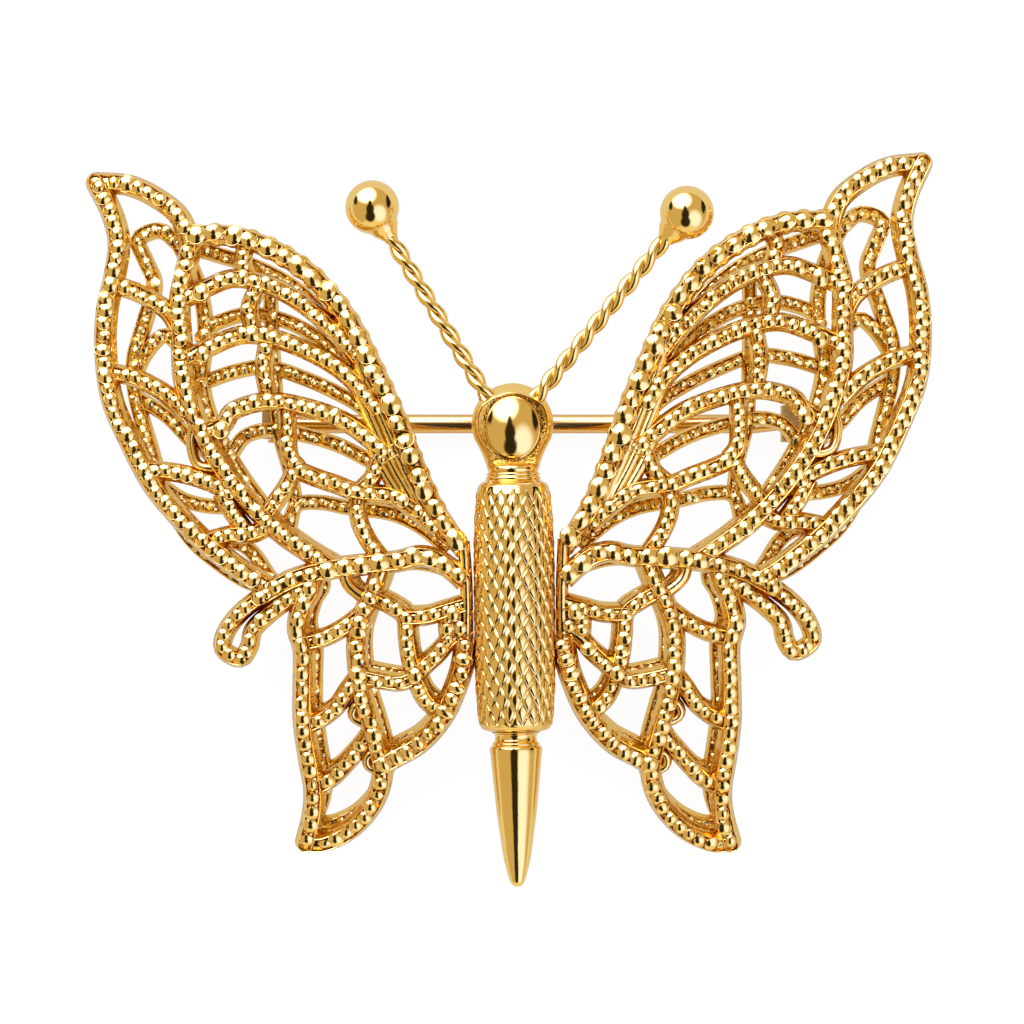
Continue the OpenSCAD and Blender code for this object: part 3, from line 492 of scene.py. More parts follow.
def wing(side, tables, kinds, depth, sink, big_beads, fineness, wobble, seed):
    """Wires and beads of one layer, as parts to fuse. tables are (rows, size) pairs."""
    step, segments, cap_steps, ring = fineness
    random = np.random.default_rng(seed)
    dome, dome_faces = turned(bead_profile(cap_steps, ring), segments)
    parts, beads, crossed = [], [], []

    def add_bead(place, along, aside, up, radius, stretch):
        tilt = random.normal(0, wobble * TILT_SHARE, 2)
        grow = 1 + random.normal(0, wobble, 3)
        lifted = unit(up + tilt[0] * along + tilt[1] * aside)
        ahead = -unit(np.cross(aside, lifted))
        points = dome * (radius * stretch * grow[0], radius * grow[1], radius * grow[2])
        parts.append((placed(points, place, ahead, np.cross(lifted, ahead), lifted), dome_faces))
        beads.append((place[0], place[1], radius * min(stretch, 1)))

    for spot, radius in big_beads:
        places, _, _, ups = framed(spots([spot], side), sink)
        up = ups[0]
        ahead = unit(ACROSS - up * (ACROSS @ up))
        place = places[0] + up * (kinds["vein"].rise - BIG_BEAD_SINK)
        add_bead(place, ahead, np.cross(ahead, up), up, radius * SHARE, 1)

    rows = [(kinds[name], smooth_route(spots(points, side, size), step))
            for table, size in tables for name, points in table]
    rows.sort(key=lambda row: -row[0].rise)
    for kind, route in rows:
        thick = depth * (DEPTH_SHARE + RISE_SHARE * kind.rise / kinds["edge"].rise)
        parts.append(wire(route, kind, thick, sink, narrowed=kind is kinds["rim"]))
        if kind.bead:
            places, along, aside, up = framed(route, sink)
            reach = np.r_[0, np.cumsum(np.linalg.norm(np.diff(places, axis=0), axis=1))]
            spacing = kind.bead * kind.stretch * kind.pitch
            spacing = reach[-1] / round(reach[-1] / spacing)
            for s in np.arange(spacing / 2, reach[-1], spacing):
                i = int(np.argmin(abs(reach - s)))
                radius = kind.bead / 2 * (1 + random.uniform(-wobble, wobble))
                spot = np.array([np.interp(s, reach, column) for column in places.T])
                under = any(np.min(np.linalg.norm(line - spot[:2], axis=1))
                            < half * CROSS_WIRE + radius * CROSS_BEAD for line, half in crossed)
                for share in BEAD_SHARES:
                    held = radius * share
                    room = held * min(kind.stretch, 1)
                    near = [r for x, y, r in beads
                            if math.hypot(x - spot[0], y - spot[1]) < (r + room) * BEAD_ROOM]
                    if not near and (share == BEAD_SHARES[-1] or not under):
                        add_bead(spot + up[i] * (kind.rise - BEAD_SINK), along[i], aside[i], up[i],
                                 held, kind.stretch)
                        if ring and kind is kinds["rim"] and reach[-1] - s > NARROW_REACH:
                            parts.append(lobe(spot, along[i], aside[i], up[i], kind, depth))
                        break
        crossed.append((route + (0, ROOT_Y), kind.top / 2))
    return parts


SIDES = ((LEFT, "left"), (RIGHT, "right"))
FRONT_TABLES = [(FORE_FRAME + CROSS_VEINS + RIBS + UPRIGHTS + THIN_RIBS + HIND_FRAME + HIND_VEINS, 1.0)]
UNDER_TABLES = [(UNDER_FRAME + UNDER_VEINS, 1.0), (HIND_FRAME + HIND_VEINS, UNDER_SCALE)]
# Fineness: the step along a wire, a bead's sides, its rows, and whether it sits in a thin ring
FRONT_FINENESS = (0.24, 14, 4, True)
UNDER_FINENESS = (0.3, 9, 2, False)
FRONT_WOBBLE, UNDER_WOBBLE = 0.075, 0.12      # how much beads vary in size
FRONT_SEED, UNDER_SEED = 11, 21


def front_wing(side):
    parts = wing(side, FRONT_TABLES, FRONT_KINDS, FRONT_DEPTH, 0, BIG_BEADS,
                 FRONT_FINENESS, FRONT_WOBBLE, FRONT_SEED + side)
    for tip in (FORE_TIP, HIND_TIP):
        parts.append(wire_end(spots([tip], side), FRONT_KINDS["edge"], FRONT_DEPTH * TIP_DEPTH, 0))
    return parts


def under_wing(side):
    return wing(side, UNDER_TABLES, UNDER_KINDS, UNDER_DEPTH, LAYER_DROP, UNDER_BEADS,
                UNDER_FINENESS, UNDER_WOBBLE, UNDER_SEED + side)


# Barrel: pointed scales in staggered rows, between two smooth bands

SCALES_AROUND = 18
SCALE_GRID = 9           # mesh steps over half a scale, both ways
SCALE_TOP = 0.05         # how far a scale's middle stands over the smooth bands
SCALE_ARCH = 0.11        # how far a scale falls towards its tips
SCALE_ROUND = 0.062      # how far it falls towards its sides
SCALE_GROOVE = 0.075     # depth of the groove round it
GROOVE_SPREAD = 0.15     # half width of that groove
SCALE_LOW = 0.12         # how far below a scale's middle its arch is highest
# The barrel's ends, as (distance in from the end, how far inside the barrel's radius)
FOOT_RINGS = [(0, 0.62), (0.02, 0.5), (0.1, 0.22), (0.2, 0.07), (0.33, 0)]
TOP_RINGS = [(0.16, -0.01), (0.06, 0.04), (0, 0.14)]
SCALE_EDGE = 0.07        # width of the step between the bands and the scales


def barrel_radius(y):
    t = np.clip((y - BARREL_FOOT) / BARREL_LENGTH, 0, 1)
    return BARREL_END_RADIUS + (BARREL_RADIUS - BARREL_END_RADIUS) * (1 - (2 * t - 1) ** 4)


def barrel():
    around = SCALES_AROUND * 2 * SCALE_GRID
    scale_rows = SCALE_ROWS * SCALE_GRID
    first, last = BARREL_FOOT + BAND_WIDTH, BARREL_TOP - BAND_WIDTH
    angles = np.arange(around) * 2 * math.pi / around
    rings = []

    def add_ring(y, radius):
        radius = np.broadcast_to(radius, around)
        rings.append(np.column_stack([radius * np.sin(angles), np.full(around, y), radius * np.cos(angles)]))

    foot, top = float(barrel_radius(BARREL_FOOT)), float(barrel_radius(BARREL_TOP))
    for reach, inset in FOOT_RINGS:
        add_ring(BARREL_FOOT + reach, foot - inset)
    add_ring(first - SCALE_EDGE, float(barrel_radius(first)))
    for row in range(scale_rows + 1):
        y = first + (last - first) * row / scale_rows
        along = row / SCALE_GRID
        best = np.full(around, -1.0)
        across = np.arange(around) / SCALE_GRID
        for heel in range(-1, SCALE_ROWS + 2):
            # each scale spans one step either way from its middle, and alternate rows shift by one
            rise = along - heel
            if abs(rise) > 1:
                continue
            shift = (across - heel % 2 + 1) % 2 - 1
            inside = np.abs(shift) + abs(rise) <= 1.001
            edge = 1 - np.abs(shift) - abs(rise)
            height = (-SCALE_ARCH * (rise + SCALE_LOW) ** 2 - SCALE_ROUND * shift ** 2
                      - SCALE_GROOVE * np.exp(-(edge / GROOVE_SPREAD) ** 2))
            best = np.where(inside, np.maximum(best, height), best)
        add_ring(y, barrel_radius(y) + SCALE_TOP + best)
    add_ring(last + SCALE_EDGE, float(barrel_radius(last)))
    for reach, inset in TOP_RINGS:
        add_ring(BARREL_TOP - reach, top - inset)
    add_ring(BARREL_TOP, NECK_RADIUS - 0.3)
    points, faces = skin(np.array(rings)[:, ::-1])
    return in_body(points), faces


# Neck, as (radius, height above the barrel), and tail, as (radius, height above its point)

NECK_PROFILE = [
    (1.2, -0.1), (2.0, -0.04), (2.02, 0.04), (1.92, 0.1), (1.78, 0.17), (1.68, 0.24), (1.62, 0.3),
    (1.65, 0.34), (1.66, 0.39), (1.63, 0.44), (1.56, 0.47), (1.55, 0.52), (1.59, 0.55), (1.6, 0.61),
    (1.58, 0.67), (1.52, 0.7), (1.47, 0.73), (1.5, 0.78), (1.53, 0.86), (1.53, 0.95), (1.5, 1.04),
    (1.44, 1.11), (1.32, 1.17), (0.9, 1.2),
]
TAIL_PROFILE = [
    (0, 0), (0.2, 0.03), (0.36, 0.17), (0.47, 0.38), (0.55, 0.65), (0.68, 1.14), (0.79, 1.56),
    (0.9, 2.2), (0.99, 2.88), (1.1, 3.66), (1.21, 4.44), (1.31, 5.5), (1.41, 6.5), (1.49, 7.3),
    (1.55, 7.95), (1.575, 8.2), (1.57, 8.32), (1.53, 8.4), (1.45, 8.46), (1.4, 8.49), (1.42, 8.53),
    (1.42, 8.6), (1.37, 8.66), (1.28, 8.72), (1.25, 8.85), (1.25, 9.0), (1.28, 9.12), (1.38, 9.2),
    (1.45, 9.23), (1.47, 9.27), (1.2, 9.35),
]
LATHE_SEGMENTS = 96


def neck():
    points, faces = turned(NECK_PROFILE, LATHE_SEGMENTS)
    return along_body(points + (0, 0, BARREL_TOP)), faces


def tail():
    points, faces = turned(TAIL_PROFILE, LATHE_SEGMENTS)
    return along_body(points + (0, 0, TAIL_END)), faces


# Head: a round cup with a sloping band round its top, the hammered bed inside the band, and the dome

HEAD_STEPS = 96
HEAD_SEARCH = 3.2        # a radius outside the head, where the search for its outline starts
HALVINGS = 30            # steps of that search
NECK_REACH = math.hypot(NECK_RADIUS, HEAD_DROP)
FLANK_ANGLE = math.atan2(HEAD_DROP, NECK_RADIUS) - math.acos(HEAD_RADIUS / NECK_REACH)
FLANK_Y = -HEAD_RADIUS * math.sin(FLANK_ANGLE)
FLANK_RADIUS = HEAD_RADIUS * math.cos(FLANK_ANGLE)
FLANK_HOLLOW = 0.08      # how far the head's flanks curve in towards the neck
BED_HEIGHT = 0.8         # height of the bed over the body's axis
BAND_TOP = 0.98          # height of the band's inner edge
HEAD_ANGLES = np.arange(HEAD_STEPS) * 2 * math.pi / HEAD_STEPS
# The band is 0.4 wide, and 0.64 over the dome's upper end
BAND_WIDE = 0.4 + 0.24 * np.clip((np.sin(HEAD_ANGLES) - 0.55) / 0.35, 0, 1)
BAND_SLOPE = 1.3         # how steeply it falls outwards
LOW_RINGS = (-0.2, -0.5, -0.8, -1.1, -1.4, -1.75, -2.05, -2.3, -2.42)
DOME_Y = HEAD_Y - 0.24
DOME_EDGE = 1.15         # height of the dome's edge over the body's axis
DOME_SKIRT = 0.5         # how far the dome's side goes down from there
DOME_EDGE_TILT = math.radians(42)
DOME_HALF_WIDTH = 1.52
DOME_HALF_LENGTH = 1.77
BEZEL_HALF_WIDTH = 1.58
BEZEL_HALF_LENGTH = 1.83
BEZEL_LIFT = 0.12        # height of the thin line over the bed
BEZEL_THICK = 0.055      # its radius


def head_radius(y):
    """Radius of the head about the body's axis, y above its middle."""
    t = np.clip((y + HEAD_DROP) / (FLANK_Y + HEAD_DROP), 0, 1)
    cone = NECK_RADIUS + (FLANK_RADIUS - NECK_RADIUS) * t - FLANK_HOLLOW * np.sin(math.pi * t)
    ball = np.sqrt(np.maximum(HEAD_RADIUS ** 2 - y ** 2, 0))
    return np.where(y < FLANK_Y, cone, ball)


def head_ring(height, shrink=0.0, raised=None):
    """Outline of the head at a height from the body's axis, moved in and set at another height if asked."""
    low, high = np.zeros(HEAD_STEPS), np.full(HEAD_STEPS, HEAD_SEARCH)
    for _ in range(HALVINGS):
        middle = (low + high) / 2
        x, y = middle * np.cos(HEAD_ANGLES), middle * np.sin(HEAD_ANGLES)
        inside = (np.hypot(x, height) < head_radius(y)) & (y > -HEAD_DROP)
        low, high = np.where(inside, middle, low), np.where(inside, high, middle)
    reach = low - shrink
    level = np.full(HEAD_STEPS, height if raised is None else raised)
    return np.column_stack([reach * np.cos(HEAD_ANGLES), HEAD_Y + reach * np.sin(HEAD_ANGLES), level])


def oval_ring(half_width, half_length, height):
    return np.column_stack([half_width * np.cos(HEAD_ANGLES), DOME_Y + half_length * np.sin(HEAD_ANGLES),
                            np.full(HEAD_STEPS, height)])


def head_floor():
    """The hammered bed between the head's band and the dome."""
    rings = [oval_ring(0.4, 0.5, BED_HEIGHT - 0.2)]
    for inset, lift in ((0.1, -0.2), (0.01, -0.1), (0.02, 0.02), (0.1, 0), (0.16, -0.03)):
        rings.append(head_ring(0, BAND_WIDE + inset, BED_HEIGHT + lift))
    rings += [oval_ring(1.5, 1.75, BED_HEIGHT), oval_ring(0.4, 0.5, BED_HEIGHT)]
    points, faces = skin(np.array(rings))
    return in_body(points), faces


def head():
    """The cup: up inside the band, over it, and down the outside to the cup's foot."""
    rings = [oval_ring(0.4, 0.5, BED_HEIGHT - 0.15), oval_ring(1.4, 1.6, BED_HEIGHT - 0.15)]
    rings.append(head_ring(0, BAND_WIDE + 0.03, BED_HEIGHT - 0.15))
    for inset, drop in ((0.01, 0.03), (-0.02, 0), (-0.06, 0.03)):
        rings.append(head_ring(0, BAND_WIDE + inset, BAND_TOP - drop))
    rings.append(head_ring(0, 0.04, BAND_TOP - (BAND_WIDE - 0.1) * BAND_SLOPE - 0.03))
    rings.append(head_ring(0, 0.01, BAND_TOP - BAND_WIDE * BAND_SLOPE - 0.04))
    rings.append(head_ring(0, 0, 0.1))
    for height in LOW_RINGS:
        rings.append(head_ring(height))
    points, faces = skin(np.array(rings))
    return in_body(points), [face[::-1] for face in faces]


def dome():
    """The polished oval dome, a shallow cap on a short straight side."""
    cap = DOME_HALF_WIDTH / math.sin(DOME_EDGE_TILT)
    rim = cap * math.cos(DOME_EDGE_TILT)
    rows = [(DOME_HALF_WIDTH - 0.02, -DOME_SKIRT), (DOME_HALF_WIDTH, -0.04)]
    rows += [(cap * math.sin(a), cap * math.cos(a) - rim) for a in np.linspace(DOME_EDGE_TILT, 0, 33)[:-1]]
    rows.append((0, cap - rim))
    points, faces = turned(rows, LATHE_SEGMENTS)
    points = points * (1, DOME_HALF_LENGTH / DOME_HALF_WIDTH, 1)
    return in_body(points + (0, DOME_Y, DOME_EDGE)), faces


def tube(path, normals, radius, sides):
    """Closed tube along a path; normals are roughly across it."""
    along = unit(np.gradient(path, axis=0))
    normals = unit(normals - along * np.sum(normals * along, axis=1, keepdims=True))
    aside = np.cross(along, normals)
    angles = np.arange(sides) * 2 * math.pi / sides
    ring = (np.cos(angles)[None, :, None] * normals[:, None] + np.sin(angles)[None, :, None] * aside[:, None])
    return skin(path[:, None] + ring * radius)


def bezel():
    """Thin raised line round the dome's foot, as a closed ring."""
    steps, sides = 120, 8
    angles = np.arange(steps) * 2 * math.pi / steps
    points, faces = [], []
    for a in angles:
        centre = np.array([BEZEL_HALF_WIDTH * math.cos(a), DOME_Y + BEZEL_HALF_LENGTH * math.sin(a),
                           BED_HEIGHT + BEZEL_LIFT])
        out = unit(np.array([math.cos(a) / BEZEL_HALF_WIDTH, math.sin(a) / BEZEL_HALF_LENGTH, 0]))
        points += [centre + BEZEL_THICK * (math.cos(b) * out + math.sin(b) * OUT)
                   for b in np.arange(sides) * 2 * math.pi / sides]
    for i in range(steps):
        for k in range(sides):
            a, b = i * sides + k, i * sides + (k + 1) % sides
            c, d = (i + 1) % steps * sides + k, (i + 1) % steps * sides + (k + 1) % sides
            faces.append([a, c, d, b])
    return in_body(np.array(points)), faces


# Antennae: a twisted pair of strands from the head's rim to a ball

STRAND_RADIUS = 0.305
COIL_RADIUS = 0.235
TWIST_PITCH = 2.9        # length of one full turn of the twist
STRAND_STEP = 0.13
STRAND_SIDES = 14
COIL_TAPER = 0.1         # share that the coil's radius loses by the ball
TWIST_START = 0.5        # turn of the twist at the root, in radians
ANTENNA_SINK = 0.5       # how far a strand starts inside the head
BALL_COLLAR = [(0.5, -2.1), (0.56, -1.98), (0.66, -1.82), (0.82, -1.62)]
BALL_FOOT = 0.94         # radius where the ball meets its collar


def antenna_frame(side):
    rise = math.asin(ANTENNA_RISE / ANTENNA_LENGTH[side])
    turn = ANTENNA_ANGLE[side]
    root = np.array([side * math.sin(ROOT_ANGLE), math.cos(ROOT_ANGLE), 0]) * (HEAD_RADIUS - ROOT_INSET)
    start = root + (0, HEAD_Y, RIM_HEIGHT / 2)
    ahead = np.array([side * math.sin(turn) * math.cos(rise), math.cos(turn) * math.cos(rise),
                      math.sin(rise)])
    start = in_body(start)
    ahead = placed(ahead, (0, 0, 0), BODY_X, BODY_Y, OUT)
    across = unit(np.cross(ahead, OUT))
    return start, ahead, across, np.cross(across, ahead)


def antenna(side):
    start, ahead, across, front = antenna_frame(side)
    reach = ANTENNA_LENGTH[side]
    s = np.arange(-ANTENNA_SINK, reach + STRAND_STEP, STRAND_STEP)
    parts = []
    for phase in (0, math.pi):
        turn = 2 * math.pi * s / TWIST_PITCH + phase + TWIST_START
        coil = COIL_RADIUS * (1 - COIL_TAPER * np.clip(s / reach, 0, 1))
        radial = np.cos(turn)[:, None] * across + np.sin(turn)[:, None] * front
        path = start + s[:, None] * ahead + radial * coil[:, None]
        parts.append(tube(path, radial, STRAND_RADIUS, STRAND_SIDES))
    return parts


def antenna_ball(side):
    start, ahead, across, _ = antenna_frame(side)
    centre = start + ahead * ANTENNA_LENGTH[side]
    begin = math.pi - math.asin(BALL_FOOT / BALL_RADIUS)
    profile = BALL_COLLAR + [(BALL_RADIUS * math.sin(a), BALL_RADIUS * math.cos(a))
                             for a in np.linspace(begin, 0, 40)[:-1]]
    profile.append((0, BALL_RADIUS))
    points, faces = turned(profile, 72)
    return placed(points, centre, across, np.cross(ahead, across), ahead), faces


# Shader nodes

def feed(tree, socket, given):
    """Links an input to an output, or sets it to a number or colour."""
    if isinstance(given, bpy.types.NodeSocket):
        tree.links.new(given, socket)
    else:
        socket.default_value = given


def maths(tree, operation, *given):
    node = tree.nodes.new("ShaderNodeMath")
    node.operation = operation
    for socket, value in zip(node.inputs, given):
        feed(tree, socket, value)
    return node.outputs[0]


def ranged(tree, value, from_span, to_span, smooth=False):
    """A value carried from one span to another, and held inside it."""
    node = tree.nodes.new("ShaderNodeMapRange")
    if smooth:
        node.interpolation_type = "SMOOTHSTEP"
    feed(tree, node.inputs["Value"], value)
    node.inputs["From Min"].default_value, node.inputs["From Max"].default_value = from_span
    node.inputs["To Min"].default_value, node.inputs["To Max"].default_value = to_span
    return node.outputs["Result"]


def blend(tree, share, first, second):
    """A mix of two colours."""
    node = tree.nodes.new("ShaderNodeMix")
    node.data_type = "RGBA"
    for name, given in (("Factor", share), ("A", first), ("B", second)):
        feed(tree, node.inputs[name], given)
    return node.outputs["Result"]


def noise(tree, place, size, detail):
    """Noise with lumps about that many metres apart."""
    node = tree.nodes.new("ShaderNodeTexNoise")
    node.inputs["Scale"].default_value = 1 / size
    node.inputs["Detail"].default_value = detail
    tree.links.new(place, node.inputs["Vector"])
    return node.outputs["Fac"]


def bumped(tree, height, strength, distance, normal=None):
    """The normal of a surface with a height on it."""
    node = tree.nodes.new("ShaderNodeBump")
    node.inputs["Distance"].default_value = distance
    feed(tree, node.inputs["Strength"], strength)
    tree.links.new(height, node.inputs["Height"])
    if normal:
        tree.links.new(normal, node.inputs["Normal"])
    return node.outputs["Normal"]


# Materials

STEEPNESS = (0.75, 0.3)        # upward part of the normal where a side's painted shade starts and where it is full
SPOTTING = (0.5, 0.75)         # the noise where dull spots start and are full
SPOT_SIZE = 3                  # size of a spot for the size of a dent
HOLLOWNESS = (0.8, 0.2)        # openness where a hollow's painted shade starts and where it is full
HOLLOW_REACH = 0.7             # how far round a place counts as its hollow
HOLLOW_SAMPLES = 4
# painted shade: the colour that hollows darken towards
HOLLOW_SHADE_GOLD = (0.5, 0.2, 0.006)
DENT_HEIGHT = 0.3              # height of a dent for its size
SCRATCH_PITCH = 0.5            # distance between scratches
SCRATCH_HEIGHT = 0.01


def material(name, base, shade_and_spot_tone, rough, deep_rough, grain, grain_size, scratch, mottle=0.0, shaded=0.0,
             steepest=1.0, side_grain=None):
    """Polished gold: browner and duller on steep sides, as painted shade, browner in hollows, as painted
    shade, and browner and duller in spots, with fine dents and scratches. shaded is how dark the painted
    shade in hollows goes, steepest how dark the painted shade on steep sides goes, and side_grain the
    strength of the dents there."""
    m = bpy.data.materials.new(name)
    m.use_nodes = True
    tree = m.node_tree
    shader = tree.nodes["Principled BSDF"]
    shader.inputs["Metallic"].default_value = 1.0
    where = tree.nodes.new("ShaderNodeTexCoord")
    place = where.outputs["Object"]
    facing = tree.nodes.new("ShaderNodeSeparateXYZ")
    tree.links.new(where.outputs["Normal"], facing.inputs[0])
    # painted shade: steep sides are mixed towards the darker second colour, browner as if in shade
    side_shade = ranged(tree, facing.outputs["Z"], STEEPNESS, (0, steepest))
    spotted = ranged(tree, noise(tree, place, grain_size * MM * SPOT_SIZE, 3), SPOTTING, (0, mottle))
    # the painted shade of steep sides and the real random spots together, for colour, roughness and dents
    shade_and_spots = maths(tree, "MAXIMUM", side_shade, spotted)
    tone = blend(tree, shade_and_spots, (*base, 1), (*shade_and_spot_tone, 1))
    # painted shade: places in hollows, found by ambient occlusion, are darkened towards the hollow colour
    if shaded:
        open_sky = tree.nodes.new("ShaderNodeAmbientOcclusion")
        open_sky.samples = HOLLOW_SAMPLES
        open_sky.inputs["Distance"].default_value = HOLLOW_REACH * MM
        hollow_shade = ranged(tree, open_sky.outputs["AO"], HOLLOWNESS, (0, shaded))
        tone = blend(tree, hollow_shade, tone, (*HOLLOW_SHADE_GOLD, 1))
    tree.links.new(tone, shader.inputs["Base Color"])
    tree.links.new(ranged(tree, shade_and_spots, (0, 1), (rough, deep_rough)), shader.inputs["Roughness"])
    strength = ranged(tree, shade_and_spots, (0, 1), (grain, grain if side_grain is None else side_grain))
    dents = bumped(tree, noise(tree, place, grain_size * MM, 2), strength, grain_size * MM * DENT_HEIGHT)
    lines = tree.nodes.new("ShaderNodeTexWave")
    lines.inputs["Scale"].default_value = 1 / (SCRATCH_PITCH * MM)
    lines.inputs["Distortion"].default_value = 12
    lines.inputs["Detail"].default_value = 4
    tree.links.new(place, lines.inputs["Vector"])
    scratches = bumped(tree, lines.outputs["Fac"], scratch, SCRATCH_HEIGHT * MM, dents)
    tree.links.new(scratches, shader.inputs["Normal"])
    return m


GOLD = (0.95, 0.655, 0.185)
# painted shade: colour of the steep sides of the smooth, cup and twisted gold
SIDE_SHADE_GOLD = (0.9, 0.585, 0.145)
# painted shade: colour of the steep sides of the beaded wirework and the scaled barrel
STEEP_SHADE_GOLD = (0.76, 0.41, 0.03)
HAMMERED = (0.78, 0.44, 0.06)
# painted shade on the bed's steep sides, and also the real tone of its random spots
HAMMERED_SHADE_AND_SPOTS = (0.5, 0.24, 0.02)
# paler than the front gold, as painted light from the floor falling on the lower layer
UNDER_FLOOR_LIT_GOLD = (0.96, 0.7, 0.21)
# painted shade on the under layer's steep sides, and also the real tone of its random spots
UNDER_SHADE_AND_SPOTS = (0.84, 0.52, 0.08)
FITTING = (0.9, 0.66, 0.25)
# painted shade: colour of the fittings' steep sides
FITTING_SIDE_SHADE = (0.7, 0.44, 0.1)
PIN = (0.9, 0.58, 0.2)
# painted shade: colour of the pin's steep sides
PIN_SIDE_SHADE = (0.66, 0.34, 0.07)
beaded = material("beaded gold", GOLD, STEEP_SHADE_GOLD, rough=0.09, deep_rough=0.2, grain=0.14, grain_size=0.3,
                  scratch=0.04, shaded=0.75, steepest=0.8, side_grain=0.6)
scaled = material("scaled gold", GOLD, STEEP_SHADE_GOLD, rough=0.06, deep_rough=0.18, grain=0.04, grain_size=0.25,
                  scratch=0.03, shaded=0.3, steepest=0.75, side_grain=0.3)
smooth_gold = material("smooth gold", GOLD, SIDE_SHADE_GOLD, rough=0.09, deep_rough=0.14, grain=0.02,
                       grain_size=0.9, scratch=0.03)
cup_gold = material("cup gold", GOLD, SIDE_SHADE_GOLD, rough=0.14, deep_rough=0.3, grain=0.03, grain_size=0.3,
                    scratch=0.03)
hammered_gold = material("hammered gold", HAMMERED, HAMMERED_SHADE_AND_SPOTS, rough=0.16, deep_rough=0.24, grain=1.0,
                         grain_size=0.22, scratch=0.0, mottle=0.8, shaded=0.6)
twist_gold = material("twisted gold", GOLD, SIDE_SHADE_GOLD, rough=0.11, deep_rough=0.2, grain=0.05,
                      grain_size=0.4, scratch=0.05, shaded=0.6)
under_gold = material("under layer gold", UNDER_FLOOR_LIT_GOLD, UNDER_SHADE_AND_SPOTS, rough=0.16, deep_rough=0.28, grain=0.6,
                      grain_size=0.25, scratch=0.05, mottle=0.7, shaded=0.55, side_grain=0.9)
fitting_gold = material("fitting gold", FITTING, FITTING_SIDE_SHADE, rough=0.42, deep_rough=0.5, grain=0.12,
                        grain_size=0.3, scratch=0.1)
pin_metal = material("pin metal", PIN, PIN_SIDE_SHADE, rough=0.16, deep_rough=0.25, grain=0.03, grain_size=0.6,
                     scratch=0.04)

for side, name in SIDES:
    piece(f"wirework_{name}", fused("wirework", front_wing(side)), beaded,
          [f"front_wing_{name}"], sharp=35)
    piece(f"under_wirework_{name}", fused("under_wirework", under_wing(side)), under_gold,
          [f"under_wing_{name}"], sharp=35)
    piece(f"twisted_wire_{name}", mesh_of("twisted_wire", antenna(side)), twist_gold,
          [f"antenna_{name}"])
    piece(f"ball_{name}", mesh_of("ball", [antenna_ball(side)]), smooth_gold,
          [f"antenna_ball_{name}"])
piece("scaled_barrel", mesh_of("barrel", [barrel()]), scaled, ["thorax"], sharp=50)
piece("ringed_neck", mesh_of("neck", [neck()]), smooth_gold, ["neck_ring"], sharp=60)
piece("smooth_tail", mesh_of("tail", [tail()]), smooth_gold, ["tail_spike"], sharp=60)
piece("head_cup", mesh_of("head", [head()]), cup_gold, ["head_setting"], sharp=50)
piece("hammered_bed", mesh_of("bed", [head_floor()]), hammered_gold, sharp=60)
piece("polished_dome", mesh_of("dome", [dome()]), smooth_gold, ["head_dome"])
piece("bezel_line", mesh_of("bezel", [bezel()]), smooth_gold)

for node, look in (("hinge_bracket", fitting_gold), ("hinge_rivet", pin_metal), ("pin_stem", pin_metal),
                   ("catch", fitting_gold)):
    o = bpy.data.objects[node]
    o.data.materials.clear()
    o.data.materials.append(look)


# Floor, light and camera

def mirror_window(tree, places, centre, radii, soft):
    """1 inside an oval of the mirror-ball picture of the surroundings, 0 outside it."""
    squares = []
    for place, middle, radius in zip(places, centre, radii):
        share = maths(tree, "DIVIDE", maths(tree, "SUBTRACT", place, middle), radius)
        squares.append(maths(tree, "MULTIPLY", share, share))
    return ranged(tree, maths(tree, "ADD", *squares), (1 + soft, max(1 - soft, 0)), (0, 1), smooth=True)


# Windows of the surroundings in mirror-ball places: centre, radii, softness, colour
LIGHTS = [
    ((0.27, -0.26), (0.25, 0.31), 0.7, (1.25, 1.42, 2.8)),
    ((0.0, -0.66), (0.42, 0.17), 0.5, (1.0, 0.92, 0.8)),
    ((-0.21, 0.43), (0.31, 0.26), 0.85, (3.7, 4.3, 7.5)),
    ((-0.07, -0.1), (0.14, 0.22), 0.35, (0.03, 0.025, 0.015)),
    ((-0.08, 0.12), (0.06, 0.12), 0.4, (0.03, 0.025, 0.015)),
    ((-0.06, -0.36), (0.18, 0.2), 0.4, (0.03, 0.025, 0.015)),
    ((0.6, 0.3), (0.09, 0.34), 0.4, (0.02, 0.02, 0.02)),
    ((-0.6, 0.28), (0.07, 0.2), 0.4, (0.02, 0.02, 0.02)),
]
BASE_LIGHT = (0.67, 0.55, 0.39)
WHITE = (1, 1, 1, 1)


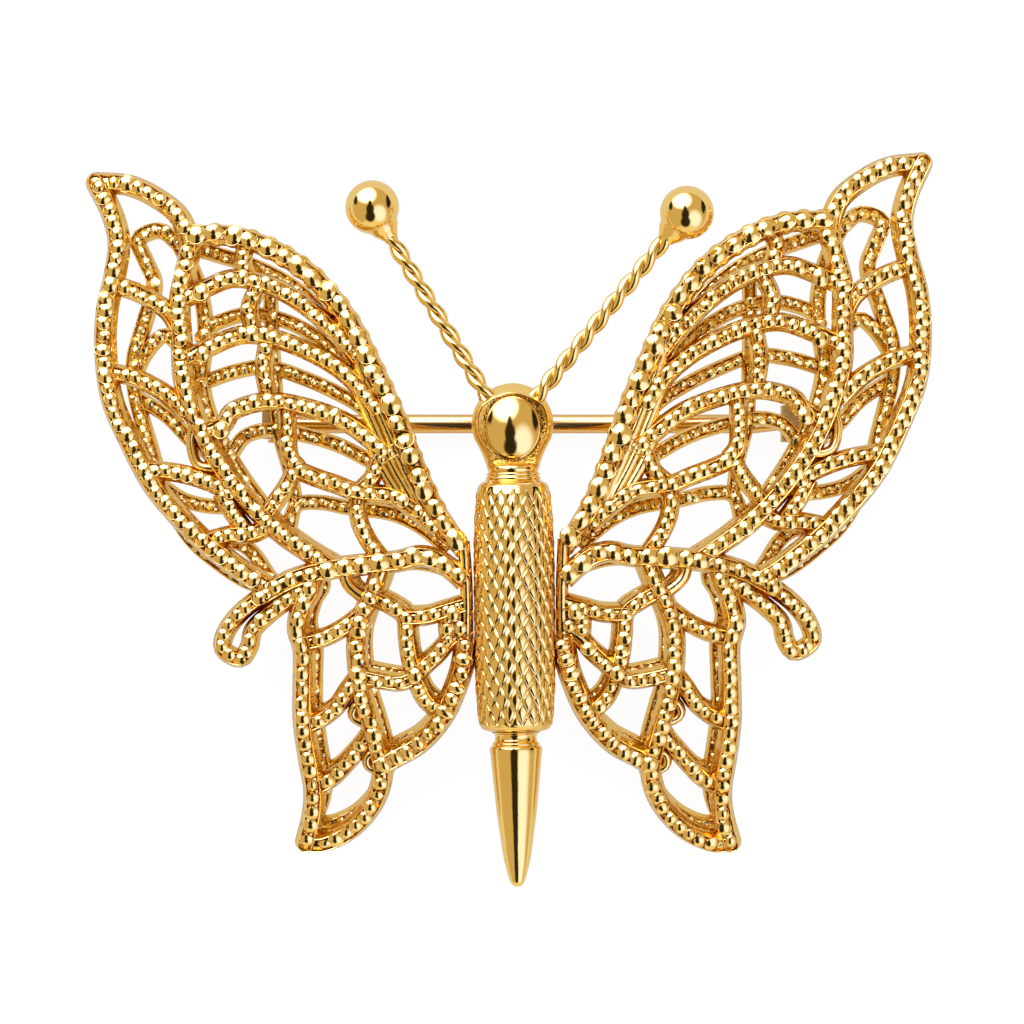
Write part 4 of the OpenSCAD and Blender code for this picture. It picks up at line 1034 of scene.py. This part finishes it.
def make_world():
    world = bpy.data.worlds.new("studio")
    bpy.context.scene.world = world
    world.use_nodes = True
    tree = world.node_tree
    tree.nodes.clear()
    where = tree.nodes.new("ShaderNodeTexCoord")
    parts = tree.nodes.new("ShaderNodeSeparateXYZ")
    tree.links.new(where.outputs["Generated"], parts.inputs[0])
    # a mirror ball shows the direction (x, y, z) at (x, y) / root of (2 + 2 z)
    root = maths(tree, "SQRT", maths(tree, "MULTIPLY_ADD", parts.outputs["Z"], 2.0, 2.001))
    places = [maths(tree, "DIVIDE", parts.outputs[axis], root) for axis in "XY"]
    colour = (*BASE_LIGHT, 1)
    for centre, radii, soft, light in LIGHTS:
        colour = blend(tree, mirror_window(tree, places, centre, radii, soft), colour, (*light, 1))
    seen = tree.nodes.new("ShaderNodeLightPath")
    sky = tree.nodes.new("ShaderNodeBackground")
    tree.links.new(blend(tree, seen.outputs["Is Camera Ray"], colour, WHITE), sky.inputs["Color"])
    out = tree.nodes.new("ShaderNodeOutputWorld")
    tree.links.new(sky.outputs[0], out.inputs["Surface"])


make_world()

FLOOR_HALF = 2.0
FLOOR_GLOW = (0.93, 0.93, 0.93)        # as the camera sees it
FLOOR_BOUNCE = (0.74, 0.74, 0.76)      # as the metal sees it
FLOOR_SHADE = 0.12
floor_mesh = bpy.data.meshes.new("floor")
corners = [(-FLOOR_HALF, -FLOOR_HALF, 0), (FLOOR_HALF, -FLOOR_HALF, 0), (FLOOR_HALF, FLOOR_HALF, 0),
           (-FLOOR_HALF, FLOOR_HALF, 0)]
floor_mesh.from_pydata(corners, [], [(0, 1, 2, 3)])
floor = bpy.data.objects.new("floor", floor_mesh)
bpy.context.scene.collection.objects.link(floor)
paper = bpy.data.materials.new("white paper")
paper.use_nodes = True
paper_shader = paper.node_tree.nodes["Principled BSDF"]
paper_shader.inputs["Base Color"].default_value = (FLOOR_SHADE, FLOOR_SHADE, FLOOR_SHADE, 1)
paper_shader.inputs["Roughness"].default_value = 1.0
paper_shader.inputs["Specular IOR Level"].default_value = 0.0
paper_shader.inputs["Emission Strength"].default_value = 1.0
paper_ray = paper.node_tree.nodes.new("ShaderNodeLightPath")
paper_glow = blend(paper.node_tree, paper_ray.outputs["Is Camera Ray"], (*FLOOR_BOUNCE, 1), (*FLOOR_GLOW, 1))
paper.node_tree.links.new(paper_glow, paper_shader.inputs["Emission Color"])
floor_mesh.materials.append(paper)

CAMERA_X, CAMERA_Y, CAMERA_Z = -0.12, 0.331, 345.8
LENS, SENSOR = 200, 36
camera = bpy.data.objects.new("camera", bpy.data.cameras.new("camera"))
camera.data.lens = LENS
camera.data.sensor_width = SENSOR
camera.data.clip_end = 10
camera.location = (CAMERA_X * MM, CAMERA_Y * MM, CAMERA_Z * MM)
bpy.context.scene.collection.objects.link(camera)
bpy.context.scene.camera = camera
bpy.context.scene.view_settings.view_transform = "Standard"
